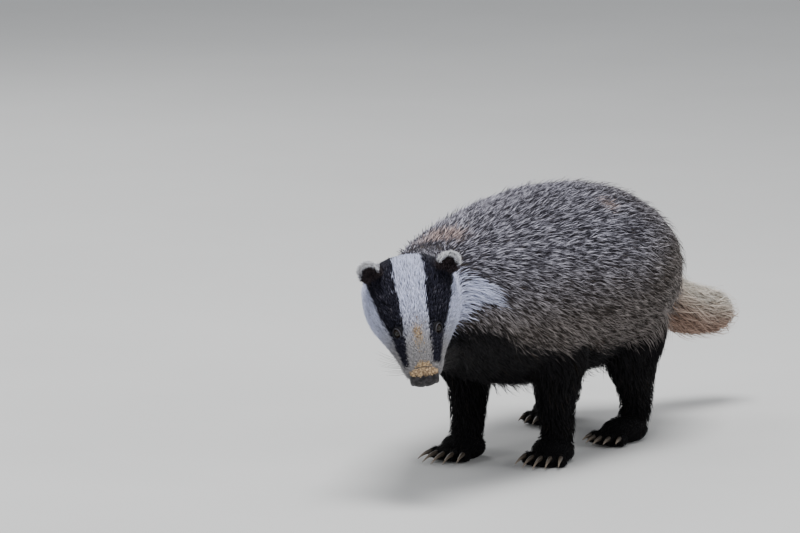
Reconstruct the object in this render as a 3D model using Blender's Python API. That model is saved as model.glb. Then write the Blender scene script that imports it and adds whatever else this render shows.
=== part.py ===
"""A European badger, life size, walking with its head lowered and turned to its left.

Metres, +Z up. The badger faces -Y and its left side is +X. The four soles stand on z = 0.
Every flesh part is a loft of oval sections; neighbours are cut clear of each other by GAP.
"""

import math
from typing import NamedTuple

import bpy
import numpy as np
from mathutils import Matrix, Vector

# Driving dimensions
GAP = 0.0003
HEAD_LENGTH = 0.150
HEAD_YAW = math.radians(33)
HEAD_PITCH = math.radians(52)
HEAD_ROLL = math.radians(7)
NOSE_TIP = Vector((0.060, -0.368, 0.148))
NECK_SPLIT = 0.642
EYE_RADIUS = 0.0056
EYE_PLACE = Vector((0.0221, -0.0990, 0.0208))
LID_THICKNESS = 0.0016
EYE_OPENING = (0.0050, 0.0037)
MOUTH_GROOVE = 0.0011
MOUTH_ANGLE = math.radians(-40)
EAR_PLACE = Vector((0.0445, -0.0300, 0.0420))
EAR_HALF_WIDTH = 0.0150
EAR_HALF_HEIGHT = 0.0185
EAR_HALF_DEPTH = 0.0088
FORE_CLAW_LENGTH = 0.027
HIND_CLAW_LENGTH = 0.016
TOES = 5

# The coat: locks stand in rows, each rooted under the tips of the row before it
COAT_DEPTH = 0.009
ROOT_DEPTH = 0.0055
LOCK_SHARES = (0.0, 0.32, 0.70, 1.0)
LOCK_WIDTHS = (0.50, 1.0, 0.80)
LOCK_THICKNESS = (0.80, 1.0, 0.76)
LOCK_RISE = (0.0, 0.50, 0.85, 1.0)
LIE_DOWN = 0.24
OVERHANG = 0.026
SEED = 11


class Coat(NamedTuple):
    """How the locks of one part stand: their rows, their size and how far the tips lift."""

    row_step: float
    side_step: float
    length: float
    width: float
    thickness: float
    tip_lift: float


BODY_COAT = Coat(0.062, 0.0500, 0.118, 0.0460, 0.0054, 0.0010)
NECK_COAT = Coat(0.054, 0.0480, 0.094, 0.0430, 0.0050, 0.0005)
TAIL_COAT = Coat(0.036, 0.0300, 0.070, 0.0215, 0.0038, 0.0010)

# Colours, as linear RGB
BLACK_FUR = (0.012, 0.011, 0.014)
GREY_FUR = (0.105, 0.098, 0.105)
WHITE_FUR = (0.62, 0.60, 0.62)
BUFF_FUR = (0.50, 0.36, 0.29)
NOSE_SKIN = (0.030, 0.029, 0.031)
HORN = (0.090, 0.075, 0.060)
EYE_DARK = (0.012, 0.008, 0.006)


class Station(NamedTuple):
    """One section of a loft: its centre, and how far it reaches sideways, up and down.

    On a leg, whose centreline runs down, "rise" reaches forwards and "drop" backwards.
    """

    side: float
    along: float
    height: float
    half_width: float
    rise: float
    drop: float


TRUNK = [
    Station(0.000, 0.272, 0.182, 0.0540, 0.0420, 0.0580),
    Station(0.000, 0.240, 0.189, 0.0800, 0.0690, 0.0800),
    Station(0.000, 0.196, 0.193, 0.1010, 0.0930, 0.0920),
    Station(0.000, 0.140, 0.195, 0.1165, 0.1090, 0.1000),
    Station(0.000, 0.070, 0.195, 0.1215, 0.1160, 0.1040),
    Station(0.000, 0.000, 0.194, 0.1180, 0.1180, 0.1030),
    Station(0.000, -0.060, 0.193, 0.1120, 0.1150, 0.0990),
    Station(0.001, -0.111, 0.195, 0.1055, 0.1090, 0.0900),
    Station(0.003, -0.157, 0.199, 0.0970, 0.1010, 0.0800),
    Station(0.007, -0.199, 0.205, 0.0870, 0.0910, 0.0710),
    Station(0.011, -0.236, 0.213, 0.0755, 0.0770, 0.0660),
    Station(0.014, -0.272, 0.221, 0.0650, 0.0630, 0.0600),
    Station(0.015, -0.308, 0.230, 0.0555, 0.0490, 0.0520),
]
TRUNK_DOME = 0.10
NECK_DOME = 0.05

TAIL = [
    Station(0.064, 0.421, 0.110, 0.0110, 0.0110, 0.0110),
    Station(0.049, 0.380, 0.117, 0.0235, 0.0245, 0.0245),
    Station(0.031, 0.337, 0.128, 0.0290, 0.0300, 0.0300),
    Station(0.015, 0.296, 0.148, 0.0295, 0.0305, 0.0310),
    Station(0.004, 0.248, 0.173, 0.0250, 0.0250, 0.0260),
    Station(0.000, 0.226, 0.183, 0.0220, 0.0220, 0.0220),
]
TAIL_DOME = 0.12

# The head's own frame: the back of the skull is at y = 0 and the nose at y = -HEAD_LENGTH.
HEAD = [
    Station(0.0, 0.0000, -0.002, 0.0480, 0.0420, 0.0400),
    Station(0.0, -0.0200, 0.000, 0.0545, 0.0470, 0.0460),
    Station(0.0, -0.0400, 0.000, 0.0560, 0.0480, 0.0480),
    Station(0.0, -0.0600, 0.000, 0.0535, 0.0450, 0.0450),
    Station(0.0, -0.0800, 0.000, 0.0480, 0.0390, 0.0370),
    Station(0.0, -0.0980, 0.000, 0.0395, 0.0320, 0.0280),
    Station(0.0, -0.1150, 0.000, 0.0308, 0.0262, 0.0190),
    Station(0.0, -0.1280, 0.000, 0.0255, 0.0215, 0.0150),
    Station(0.0, -0.1380, 0.000, 0.0220, 0.0178, 0.0125),
    Station(0.0, -0.1450, 0.000, 0.0192, 0.0148, 0.0105),
]
HEAD_DOMES = (0.16, 0.035)

JAW = [
    Station(0.0, -0.0450, -0.0300, 0.0285, 0.0150, 0.0225),
    Station(0.0, -0.0700, -0.0280, 0.0270, 0.0140, 0.0195),
    Station(0.0, -0.0950, -0.0215, 0.0232, 0.0130, 0.0155),
    Station(0.0, -0.1150, -0.0165, 0.0190, 0.0110, 0.0120),
    Station(0.0, -0.1300, -0.0130, 0.0155, 0.0085, 0.0098),
    Station(0.0, -0.1375, -0.0115, 0.0128, 0.0065, 0.0078),
]
JAW_DOMES = (0.20, 0.14)

NOSE = [
    Station(0.0, -0.1385, 0.0030, 0.0155, 0.0120, 0.0090),
    Station(0.0, -0.1460, 0.0026, 0.0168, 0.0130, 0.0100),
    Station(0.0, -0.1520, 0.0020, 0.0165, 0.0122, 0.0098),
    Station(0.0, -0.1565, 0.0014, 0.0150, 0.0100, 0.0085),
]
NOSE_DOMES = (0.20, 0.30)


class Limb(NamedTuple):
    """A leg's sections down to its paw, and where the paw stands."""

    name: str
    sections: list
    paw_side: float
    paw_along: float
    paw_half_width: float
    paw_half_length: float
    claw_length: float
    toe_in: float


def foreleg(name, hand, tread_side, tread_along, toe_in):
    """The foreleg on one side; tread_side and tread_along place the wrist over its paw.

    hand is +1 for the left leg and -1 for the right one.
    """
    wrist = tread_side * hand
    sections = [
        Station(0.066 * hand, -0.066, 0.160, 0.032, 0.041, 0.043),
        Station(0.069 * hand, -0.054, 0.126, 0.032, 0.039, 0.041),
        Station(0.4 * wrist + 0.038 * hand, -0.050, 0.094, 0.027, 0.030, 0.031),
        Station(0.7 * wrist + 0.018 * hand, (tread_along - 0.036) / 2, 0.064, 0.0230, 0.0240, 0.0250),
        Station(wrist, tread_along + 0.015, 0.038, 0.0210, 0.0210, 0.0215),
        Station(wrist, tread_along + 0.009, 0.021, 0.0200, 0.0210, 0.0200),
    ]
    return Limb(name, sections, wrist, tread_along, 0.0255, 0.032, FORE_CLAW_LENGTH, toe_in)


def hindleg(name, hand, tread_side, tread_along, toe_in):
    """The hind leg on one side: thigh, knee, hock and heel over a long paw."""
    knee = tread_along + 0.006
    sections = [
        Station(0.057 * hand, 0.166, 0.168, 0.041, 0.057, 0.056),
        Station(0.070 * hand, (knee + 0.157) / 2, 0.134, 0.039, 0.054, 0.052),
        Station(0.076 * hand, knee + 0.011, 0.099, 0.0315, 0.039, 0.039),
        Station(0.074 * hand, knee + 0.022, 0.070, 0.024, 0.027, 0.029),
        Station(tread_side * hand, knee + 0.030, 0.043, 0.0200, 0.0220, 0.0225),
        Station(tread_side * hand, knee + 0.024, 0.023, 0.0190, 0.0220, 0.0205),
    ]
    return Limb(
        name, sections, tread_side * hand, tread_along, 0.0235, 0.040, HIND_CLAW_LENGTH, toe_in
    )


LIMBS = [
    foreleg("fore_left", 1, 0.060, -0.056, math.radians(8)),
    foreleg("fore_right", -1, 0.046, -0.084, math.radians(-4)),
    hindleg("hind_left", 1, 0.072, 0.102, math.radians(-6)),
    hindleg("hind_right", -1, 0.066, 0.184, math.radians(6)),
]


def smooth(rows, places):
    """Rows read at each place, from 0 to 1, of a Catmull-Rom curve through the given rows."""
    rows = np.asarray(rows, float)
    ends = np.vstack([2 * rows[0] - rows[1], rows, 2 * rows[-1] - rows[-2]])
    along = np.clip(np.asarray(places, float), 0, 1) * (len(rows) - 1)
    first = np.minimum(along.astype(int), len(rows) - 2)
    u = (along - first)[:, None]
    a, b, c, d = (ends[first + k] for k in range(4))
    return 0.5 * (
        2 * b + (c - a) * u + (2 * a - 5 * b + 4 * c - d) * u**2 + (3 * b - a - 3 * c + d) * u**3
    )


def unit(vectors):
    """The vectors at length one."""
    return vectors / np.linalg.norm(vectors, axis=-1, keepdims=True)


class Loft:
    """Oval sections along a smooth centreline, with a dome or a flat face at each end."""

    def __init__(self, stations, squareness=2.0, domes=(0.0, 0.0)):
        self.rows = np.array(stations, float)
        self.power = 2.0 / squareness
        self.domes = domes

    def swell(self, places):
        """The share of its full size that each section has, less than 1 only in a dome."""
        share = np.ones(len(places))
        start, end = self.domes
        for depth, distance in ((start, places), (end, 1 - places)):
            if depth:
                share *= np.sqrt(1 - np.clip(1 - distance / depth, 0, 1) ** 2)
        return share

    def frames(self, places):
        """The centre, side and up directions of each section."""
        step = 1e-3
        ahead = smooth(self.rows, places + step)[:, :3]
        behind = smooth(self.rows, places - step)[:, :3]
        tangent = unit(ahead - behind)
        sideways = np.array([1.0, 0.0, 0.0])
        side = unit(sideways - (tangent @ sideways)[:, None] * tangent)
        return smooth(self.rows, places)[:, :3], side, np.cross(tangent, side), tangent

    def places(self, rings, first, last):
        """Where the rings stand, closer together as a dome closes."""
        start, end = self.domes
        even = np.linspace(first, last, rings)
        if start and first == 0:
            close = np.linspace(0, math.pi / 2, 6)[1:-1]
            even = np.concatenate([start * (1 - np.cos(close)), even[even >= start]])
        if end and last == 1:
            close = np.linspace(0, math.pi / 2, 6)[1:-1]
            even = np.concatenate([even[even <= 1 - end], 1 - end * (1 - np.cos(close[::-1]))])
        return even

    def grid(self, places, angles, grow=0.0):
        """Surface points, one row of them for each place; angle 0 is +X and 90 degrees is up."""
        grow = np.broadcast_to(grow, len(places))
        centre, side, up, _ = self.frames(places)
        _, _, _, width, rise, drop = smooth(self.rows, places).T
        share = self.swell(places)
        c, s = np.cos(angles), np.sin(angles)
        across = np.sign(c) * np.abs(c) ** self.power
        upward = np.sign(s) * np.abs(s) ** self.power
        reach = np.where(upward > 0, rise[:, None], drop[:, None]) * share[:, None] + grow[:, None]
        sideways = (width * share + grow)[:, None] * across
        lifted = reach * upward
        return (
            centre[:, None]
            + sideways[..., None] * side[:, None]
            + lifted[..., None] * up[:, None]
        )

    def shell(self, rings, sides, grow=0.0, first=0.0, last=1.0):
        """The closed mesh between two places, as points and faces, grown outwards by grow."""
        places = self.places(rings, first, last)
        angles = np.linspace(0, 2 * math.pi, sides, endpoint=False)
        points = self.grid(places, angles, grow).reshape(-1, 3)
        ends = np.array([first, last])
        centre, _, _, tangent = self.frames(ends)
        faces = []
        for ring in range(len(places) - 1):
            for k in range(sides):
                here, there = ring * sides + k, ring * sides + (k + 1) % sides
                faces.append((here, there, there + sides, here + sides))
        top = (len(places) - 1) * sides
        if self.domes[0] and first == 0:
            points = np.vstack([points, centre[0] - tangent[0] * grow])
            pole = len(points) - 1
            faces += [(pole, (k + 1) % sides, k) for k in range(sides)]
        else:
            faces.append(tuple(reversed(range(sides))))
        if self.domes[1] and last == 1:
            points = np.vstack([points, centre[1] + tangent[1] * grow])
            pole = len(points) - 1
            faces += [(pole, top + k, top + (k + 1) % sides) for k in range(sides)]
        else:
            faces.append(tuple(top + k for k in range(sides)))
        return points, split_quads(faces)


def inset(stations, depth):
    """The stations of a form that lies inside another one by a depth."""
    return [
        s._replace(half_width=s.half_width - depth, rise=s.rise - depth, drop=s.drop - depth)
        for s in stations
    ]


def pairs(loft, places, angles, grow):
    """The surface point at each place with the angle and the growth of the same number."""
    return loft.grid(places, angles, grow)[np.arange(len(places)), np.arange(len(angles))]


def lock(loft, coat, place, angle, rng):
    """One flat, tapered lock with three sides, as points and faces.

    It roots in the core, lifts towards the outer form and runs back and down along it. Where it
    runs past the end of the form it carries on straight, a little downwards.
    """
    shares = np.array(LOCK_SHARES)
    width = coat.width * rng.uniform(0.90, 1.06)
    fine = np.array([place - 0.01, place + 0.01])
    speed = np.linalg.norm(np.diff(smooth(loft.rows, fine)[:, :3], axis=0)) / 0.02
    end = loft.domes[0] * 0.35
    length = min(coat.length * rng.uniform(0.88, 1.12), (place - end) * speed + OVERHANG)
    run = place - shares * length / speed
    held = np.maximum(run, end)
    bend = LIE_DOWN * length / 0.1 * rng.uniform(0.75, 1.25)
    angles = angle - bend * shares * np.cos(angle)
    depth = COAT_DEPTH + ROOT_DEPTH
    grow = -depth + (depth + coat.tip_lift * rng.uniform(-0.5, 1.5)) * np.array(LOCK_RISE)
    points = pairs(loft, held, angles, grow)
    edge = np.array([end, end + 0.03])
    past = ((held - run) * speed)[:, None]
    ends = loft.grid(edge, angles, -COAT_DEPTH)
    heading = unit(ends[0] - ends[1]) + np.array([0.0, 0.25, -0.30])
    points = points + past * unit(heading)
    side = unit(pairs(loft, held, angles + 0.02, grow) - pairs(loft, held, angles - 0.02, grow))
    along = unit(np.gradient(points, axis=0))
    side = unit(side - (side * along).sum(axis=1, keepdims=True) * along)
    out = np.cross(along, side)
    roll = rng.uniform(-0.05, 0.05)
    across = (side * math.cos(roll) + out * math.sin(roll))[:-1]
    upward = (out * math.cos(roll) - side * math.sin(roll))[:-1]
    half = (width / 2 * np.array(LOCK_WIDTHS))[:, None]
    thick = (coat.thickness * np.array(LOCK_THICKNESS))[:, None]
    low = points[:-1] - upward * thick * 0.35
    ridge = points[:-1] + upward * thick * 0.65
    rings = np.stack([low + across * half, ridge, low - across * half], axis=1)
    faces = [(2, 1, 0)]
    for ring in range(len(rings) - 1):
        for k in range(3):
            here, there = ring * 3 + k, ring * 3 + (k + 1) % 3
            faces.append((here, there, there + 3, here + 3))
    last = (len(rings) - 1) * 3
    faces += [(last + k, last + (k + 1) % 3, last + 3) for k in range(3)]
    return np.vstack([rings.reshape(-1, 3), points[-1:]]), faces


def inside(loft, point, margin):
    """Whether a point lies in a loft, or within the margin of it."""
    places = np.linspace(0, 1, 60)
    rows = smooth(loft.rows, places)
    away = np.linalg.norm(rows[:, :3] - point, axis=1)
    return bool((away < rows[:, 3:].mean(axis=1) * loft.swell(places) + margin).any())


def coat_locks(loft, coat, rows, rng, bare):
    """The locks of a part, staggered from row to row, but for those that root in a bare form."""
    made = []
    turn = np.linspace(0, 2 * math.pi, 49)
    for number, place in enumerate(rows):
        fine = np.array([place - 0.01, place + 0.01])
        speed = np.linalg.norm(np.diff(smooth(loft.rows, fine)[:, :3], axis=0)) / 0.02
        middle = max(place - 0.55 * coat.length / speed, loft.domes[0] * 0.35)
        rings = loft.grid(np.array([place, middle]), turn)
        steps = np.linalg.norm(np.diff(rings, axis=1), axis=2)
        steps = steps[np.argmin(steps.sum(axis=1))]
        count = max(5, round(steps.sum() / coat.side_step))
        reach = np.concatenate([[0], np.cumsum(steps)]) / steps.sum()
        for k in range(count):
            share = (k + 0.5 * (number % 2) + rng.uniform(-0.06, 0.06)) / count % 1.0
            angle = float(np.interp(share, reach, turn))
            root = place + rng.uniform(-0.10, 0.10) * coat.row_step / speed
            shape = lock(loft, coat, root, angle, rng)
            heart = shape[0][3:9].mean(axis=0)
            if any(inside(form, heart, 0.004) for form in bare):
                continue
            made.append(solid("lock", shape))
    return made


def rows_between(loft, first, last, step):
    """Places for the rows of locks from the first place back to the last, about a step apart."""
    fine = np.linspace(first, last, 200)
    lengths = np.linalg.norm(np.diff(smooth(loft.rows, fine)[:, :3], axis=0), axis=1)
    along = np.concatenate([[0], np.cumsum(lengths)])
    count = round(along[-1] / step) + 1
    return np.interp(np.linspace(0, along[-1], count), along, fine)


def ball(centre, radii, rows=8, sides=14):
    """A closed ellipsoid, as points and faces."""
    turn = np.linspace(0, 2 * math.pi, sides, endpoint=False)
    tilt = np.linspace(-math.pi / 2, math.pi / 2, rows + 1)[1:-1]
    ring = np.stack(
        [
            np.outer(np.cos(tilt), np.cos(turn)),
            np.outer(np.cos(tilt), np.sin(turn)),
            np.outer(np.sin(tilt), np.ones(sides)),
        ],
        axis=-1,
    ).reshape(-1, 3)
    points = np.vstack([ring, [[0, 0, -1], [0, 0, 1]]]) * np.array(radii) + np.array(centre)
    faces = []
    for row in range(rows - 2):
        for k in range(sides):
            here, there = row * sides + k, row * sides + (k + 1) % sides
            faces.append((here, there, there + sides, here + sides))
    low, high = len(points) - 2, len(points) - 1
    top = (rows - 2) * sides
    faces += [(low, (k + 1) % sides, k) for k in range(sides)]
    faces += [(high, top + k, top + (k + 1) % sides) for k in range(sides)]
    return points, faces


def turned(shape, matrix):
    """The points and faces of a shape moved by a matrix."""
    points, faces = shape
    m = np.array(matrix)
    return points @ m[:3, :3].T + m[:3, 3], faces


def material(name, colour, roughness):
    """A plain surface of one colour."""
    made = bpy.data.materials.get(name)
    if made is None:
        made = bpy.data.materials.new(name)
        made.use_nodes = True
        shader = made.node_tree.nodes["Principled BSDF"]
        shader.inputs["Base Color"].default_value = (*colour, 1)
        shader.inputs["Roughness"].default_value = roughness
    return made


def split_quads(faces):
    """Four-sided faces as two triangles each, along the same diagonal in a shape and its cutter."""
    done = []
    for face in faces:
        if len(face) == 4:
            a, b, c, d = face
            done += [(a, b, c), (a, c, d)]
        else:
            done.append(face)
    return done


def solid(name, shape, finish=None):
    """A new object in the scene from points and faces."""
    points, faces = shape
    faces = [tuple(map(int, face)) for face in faces]
    mesh = bpy.data.meshes.new(name)
    mesh.from_pydata([tuple(p) for p in points], [], faces)
    mesh.shade_smooth()
    if finish:
        mesh.materials.append(finish)
    made = bpy.data.objects.new(name, mesh)
    bpy.context.scene.collection.objects.link(made)
    return made


def join(target, pieces, operation, solver="EXACT"):
    """Adds the pieces to the target or cuts them from it, in one Boolean, and removes them."""
    if not pieces:
        return target
    group = bpy.data.collections.new("pieces")
    bpy.context.scene.collection.children.link(group)
    for piece in pieces:
        bpy.context.scene.collection.objects.unlink(piece)
        group.objects.link(piece)
    boolean = target.modifiers.new("join", "BOOLEAN")
    boolean.operand_type = "COLLECTION"
    boolean.collection = group
    boolean.operation = operation
    boolean.solver = solver
    graph = bpy.context.evaluated_depsgraph_get()
    mesh = bpy.data.meshes.new_from_object(target.evaluated_get(graph))
    target.modifiers.clear()
    target.data = mesh
    for piece in pieces:
        bpy.data.objects.remove(piece)
    bpy.data.collections.remove(group)
    return keep_largest(target)


def keep_largest(target):
    """Leaves only the closed surface with the largest box, so that no scrap or hollow stays."""
    mesh = target.data
    count = len(mesh.vertices)
    ends = np.empty(len(mesh.edges) * 2, np.int64)
    mesh.edges.foreach_get("vertices", ends)
    ends = ends.reshape(-1, 2)
    label = np.arange(count)
    while True:
        lowest = np.minimum(label[ends[:, 0]], label[ends[:, 1]])
        spread = label.copy()
        np.minimum.at(spread, ends[:, 0], lowest)
        np.minimum.at(spread, ends[:, 1], lowest)
        spread = spread[spread]
        if (spread == label).all():
            break
        label = spread
    points = np.empty(count * 3)
    mesh.vertices.foreach_get("co", points)
    points = points.reshape(-1, 3)
    shells = np.unique(label)
    if len(shells) > 1:
        spans = [np.ptp(points[label == shell], axis=0).prod() for shell in shells]
        kept = label == shells[int(np.argmax(spans))]
        order = np.cumsum(kept) - 1
        faces = [
            tuple(int(order[v]) for v in face.vertices)
            for face in mesh.polygons
            if kept[face.vertices[0]]
        ]
        fresh = bpy.data.meshes.new(mesh.name)
        fresh.from_pydata([tuple(p) for p in points[kept]], [], faces)
        fresh.shade_smooth()
        for finish in mesh.materials:
            fresh.materials.append(finish)
        target.data = fresh
    return target


def head_matrix():
    """From the head's own frame to the animal's, with the nose at NOSE_TIP."""
    turn = (
        Matrix.Rotation(HEAD_YAW, 4, "Z")
        @ Matrix.Rotation(-HEAD_ROLL, 4, "Y")
        @ Matrix.Rotation(HEAD_PITCH, 4, "X")
    )
    back = NOSE_TIP - turn @ Vector((0, -HEAD_LENGTH, 0))
    return Matrix.Translation(back) @ turn


def eye_frame(hand):
    """The eye's frame in the head: its +Z looks out of the head, its +X runs along the slit."""
    centre = Vector((EYE_PLACE.x * hand, EYE_PLACE.y, EYE_PLACE.z))
    look = Vector((0.62 * hand, -0.52, 0.58)).normalized()
    slit = Vector((0.30 * hand, 0.86, 0.30))
    slit = (slit - slit.dot(look) * look).normalized()
    across = look.cross(slit)
    return Matrix.Translation(centre) @ Matrix((slit, across, look)).transposed().to_4x4()


def ear_frame(hand):
    """The ear's frame in the head: +Z is its tip, +Y its back."""
    tip = Vector((0.42 * hand, 0.28, 0.88)).normalized()
    back = Vector((0.10 * hand, 0.96, 0.0))
    back = (back - back.dot(tip) * tip).normalized()
    across = back.cross(tip)
    centre = Vector((EAR_PLACE.x * hand, EAR_PLACE.y, EAR_PLACE.z))
    return Matrix.Translation(centre) @ Matrix((across, back, tip)).transposed().to_4x4()


def sculpted(points):
    """The head's loft shaped further: eye hollows, brows, a flat bridge and cheeks."""
    moved = points.copy()
    outward = unit(points - np.array([0.0, -0.06, -0.004]) * [0, 1, 1])
    for hand in (-1, 1):
        for place, radius, lift in (
            ((0.0275, -0.1010, 0.0235), 0.0120, -0.0032),
            ((0.0215, -0.0880, 0.0330), 0.0120, 0.0016),
            ((0.0520, -0.062, -0.0080), 0.0220, 0.0022),
            ((0.0230, -0.1240, 0.0180), 0.0110, -0.0012),
        ):
            spot = np.array(place) * [hand, 1, 1]
            near = np.exp(-(((points - spot) / radius) ** 2).sum(axis=1))
            moved += (lift * near)[:, None] * outward
    return moved


def mouth_line(skull, hand):
    """A thin tube along one side of the mouth, from under the nose back to below the eye."""
    angle = MOUTH_ANGLE if hand > 0 else math.pi - MOUTH_ANGLE
    places = np.linspace(0.50, 0.985, 14)
    path = skull.grid(places, np.array([angle]))[:, 0]
    sizes = MOUTH_GROOVE * np.sin(np.linspace(0.25, 1, 14) * math.pi / 2)
    return Loft(np.hstack([path, np.repeat(sizes[:, None], 3, axis=1)])).shell(12, 5)


def make_head(place):
    """Head, lower jaw, nose pad, eyes and ears."""
    fur = material("face_fur", WHITE_FUR, 0.8)
    dark = material("dark_skin", NOSE_SKIN, 0.45)
    wet = material("eye", EYE_DARK, 0.08)
    skull = Loft(HEAD, 2.15, HEAD_DOMES)
    points, faces = skull.shell(22, 30)
    head = solid("head", turned((sculpted(points), faces), place), fur)

    nose_loft = Loft(NOSE, 2.5, NOSE_DOMES)
    nose = solid("nose", turned(nose_loft.shell(5, 18), place), dark)
    nostrils = []
    for hand in (-1, 1):
        tilt = Matrix.Rotation(math.radians(30 * hand), 4, "Y")
        pit = Matrix.Translation((0.0078 * hand, -0.1570, 0.0016)) @ tilt
        nostrils.append(
            solid("nostril", turned(ball((0, 0, 0), (0.0036, 0.0050, 0.0024), 6, 10), place @ pit))
        )
    join(nose, nostrils, "DIFFERENCE")
    grooves = [solid("cut", turned(mouth_line(skull, hand), place)) for hand in (-1, 1)]
    nose_cut = solid("cut", turned(nose_loft.shell(5, 18, GAP), place))
    join(head, [nose_cut, *grooves], "DIFFERENCE", "MANIFOLD")

    jaw_loft = Loft(JAW, 2.2, JAW_DOMES)
    jaw = solid("lower_jaw", turned(jaw_loft.shell(8, 20), place), fur)
    grown = skull.shell(22, 30, GAP)
    upper = solid("cut", turned((sculpted(grown[0]), grown[1]), place))
    lips = solid("cut", turned(nose_loft.shell(5, 18, GAP), place))
    join(jaw, [upper, lips], "DIFFERENCE")

    lids, sockets = [], []
    for hand, side in ((1, "left"), (-1, "right")):
        eye_place = place @ eye_frame(hand)
        solid(f"eye_{side}", turned(ball((0, 0, 0), [EYE_RADIUS] * 3, 8, 12), eye_place), wet)
        lid = EYE_RADIUS + GAP + LID_THICKNESS
        lids.append(solid("lid", turned(ball((0, 0, 0), [lid] * 3, 8, 12), eye_place)))
        socket = EYE_RADIUS + GAP
        sockets.append(solid("socket", turned(ball((0, 0, 0), [socket] * 3, 8, 12), eye_place)))
        slit = (*EYE_OPENING, 0.007)
        sockets.append(solid("slit", turned(ball((0, 0, EYE_RADIUS), slit, 6, 12), eye_place)))
    join(head, lids, "UNION", "MANIFOLD")
    join(head, sockets, "DIFFERENCE", "MANIFOLD")

    for hand, side in ((1, "left"), (-1, "right")):
        ear_place = place @ ear_frame(hand)
        cup = ball((0, 0, 0), (EAR_HALF_WIDTH, EAR_HALF_DEPTH, EAR_HALF_HEIGHT), 8, 16)
        stalk = ball((0, 0.0011, -0.0137), (0.0131, 0.0086, 0.0118), 6, 12)
        hollow = ball((0, -0.0078, 0.0036), (0.0119, 0.0082, 0.0130), 6, 12)
        ear = solid(f"ear_{side}", turned(cup, ear_place), fur)
        join(ear, [solid("stalk", turned(stalk, ear_place))], "UNION")
        cuts = [solid("cut", turned(hollow, ear_place))]
        grown = skull.shell(22, 30, GAP)
        cuts.append(solid("cut", turned((sculpted(grown[0]), grown[1]), place)))
        join(ear, cuts, "DIFFERENCE")
    return skull


def leg_form(limb):
    """The loft of a leg."""
    return Loft(limb.sections, 2.1, (0.22, 0.0))


def make_trunk(place, skull):
    """Neck and torso with their locks; the neck is cut clear of the head, jaw and ears."""
    fur = material("coat", GREY_FUR, 0.85)
    rng = np.random.default_rng(SEED)
    trunk = Loft(TRUNK, 2.1, (TRUNK_DOME, NECK_DOME))
    core = Loft(inset(TRUNK, COAT_DEPTH), 2.1, (TRUNK_DOME, NECK_DOME))
    legs = [leg_form(limb) for limb in LIMBS]
    full = np.linalg.norm(np.diff(smooth(trunk.rows, np.linspace(0, 1, 200))[:, :3], axis=0), axis=1)
    metre = 1 / full.sum()
    torso = solid("torso", core.shell(12, 20, 0.0, 0.0, NECK_SPLIT), fur)
    rows = rows_between(trunk, NECK_SPLIT - 0.009 * metre, 0.09, BODY_COAT.row_step)
    join(torso, coat_locks(trunk, BODY_COAT, rows, rng, legs), "UNION", "MANIFOLD")

    neck = solid("neck", core.shell(7, 20, 0.0, NECK_SPLIT + GAP * metre, 1.0), fur)
    rows = rows_between(trunk, 0.97, NECK_SPLIT + 0.047 * metre, NECK_COAT.row_step)
    join(neck, coat_locks(trunk, NECK_COAT, rows, rng, legs), "UNION", "MANIFOLD")
    grown, faces = skull.shell(22, 30, GAP)
    head_cut = (sculpted(grown), faces)
    jaw_cut = Loft(JAW, 2.2, JAW_DOMES).shell(8, 20, GAP)
    ears = []
    for hand in (1, -1):
        radii = np.array([EAR_HALF_WIDTH, EAR_HALF_DEPTH, EAR_HALF_HEIGHT]) + GAP
        ears.append(turned(ball((0, 0, 0), radii, 8, 16), ear_frame(hand)))
    cuts = [solid("cut", turned(cut, place)) for cut in (head_cut, jaw_cut, *ears)]
    join(neck, cuts, "DIFFERENCE", "MANIFOLD")
    return torso, neck


def make_tail(torso):
    """The tail with its locks, hanging back and to the left, rooted in the rump."""
    tail = Loft(TAIL, 2.0, (TAIL_DOME, 0.0))
    core = Loft(inset(TAIL, COAT_DEPTH * 0.8), 2.0, (TAIL_DOME, 0.0))
    rng = np.random.default_rng(SEED + 1)
    brush = solid("tail", core.shell(9, 12), material("tail_fur", BUFF_FUR, 0.85))
    rows = rows_between(tail, 0.64, 0.28, TAIL_COAT.row_step)
    join(brush, coat_locks(tail, TAIL_COAT, rows, rng, []), "UNION", "MANIFOLD")
    root = solid("cut", core.shell(9, 12, GAP))
    sleeve = solid("cut", tail.shell(8, 12, 0.0022, 0.0, 0.64))
    join(torso, [root, sleeve], "DIFFERENCE", "MANIFOLD")


def claw_shape(length, root_radius):
    """A claw as a loft: +Y runs back into the toe, and the tip bends down."""
    bend = np.linspace(0, 1, 5)
    rows = [
        Station(0, -length * t, -0.30 * length * t**2, *[root_radius * (1 - 0.88 * t)] * 3)
        for t in bend
    ]
    rows.insert(0, Station(0, 0.004, 0.0, *[root_radius] * 3))
    return Loft(rows, 2.0, (0.0, 0.0))


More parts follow.
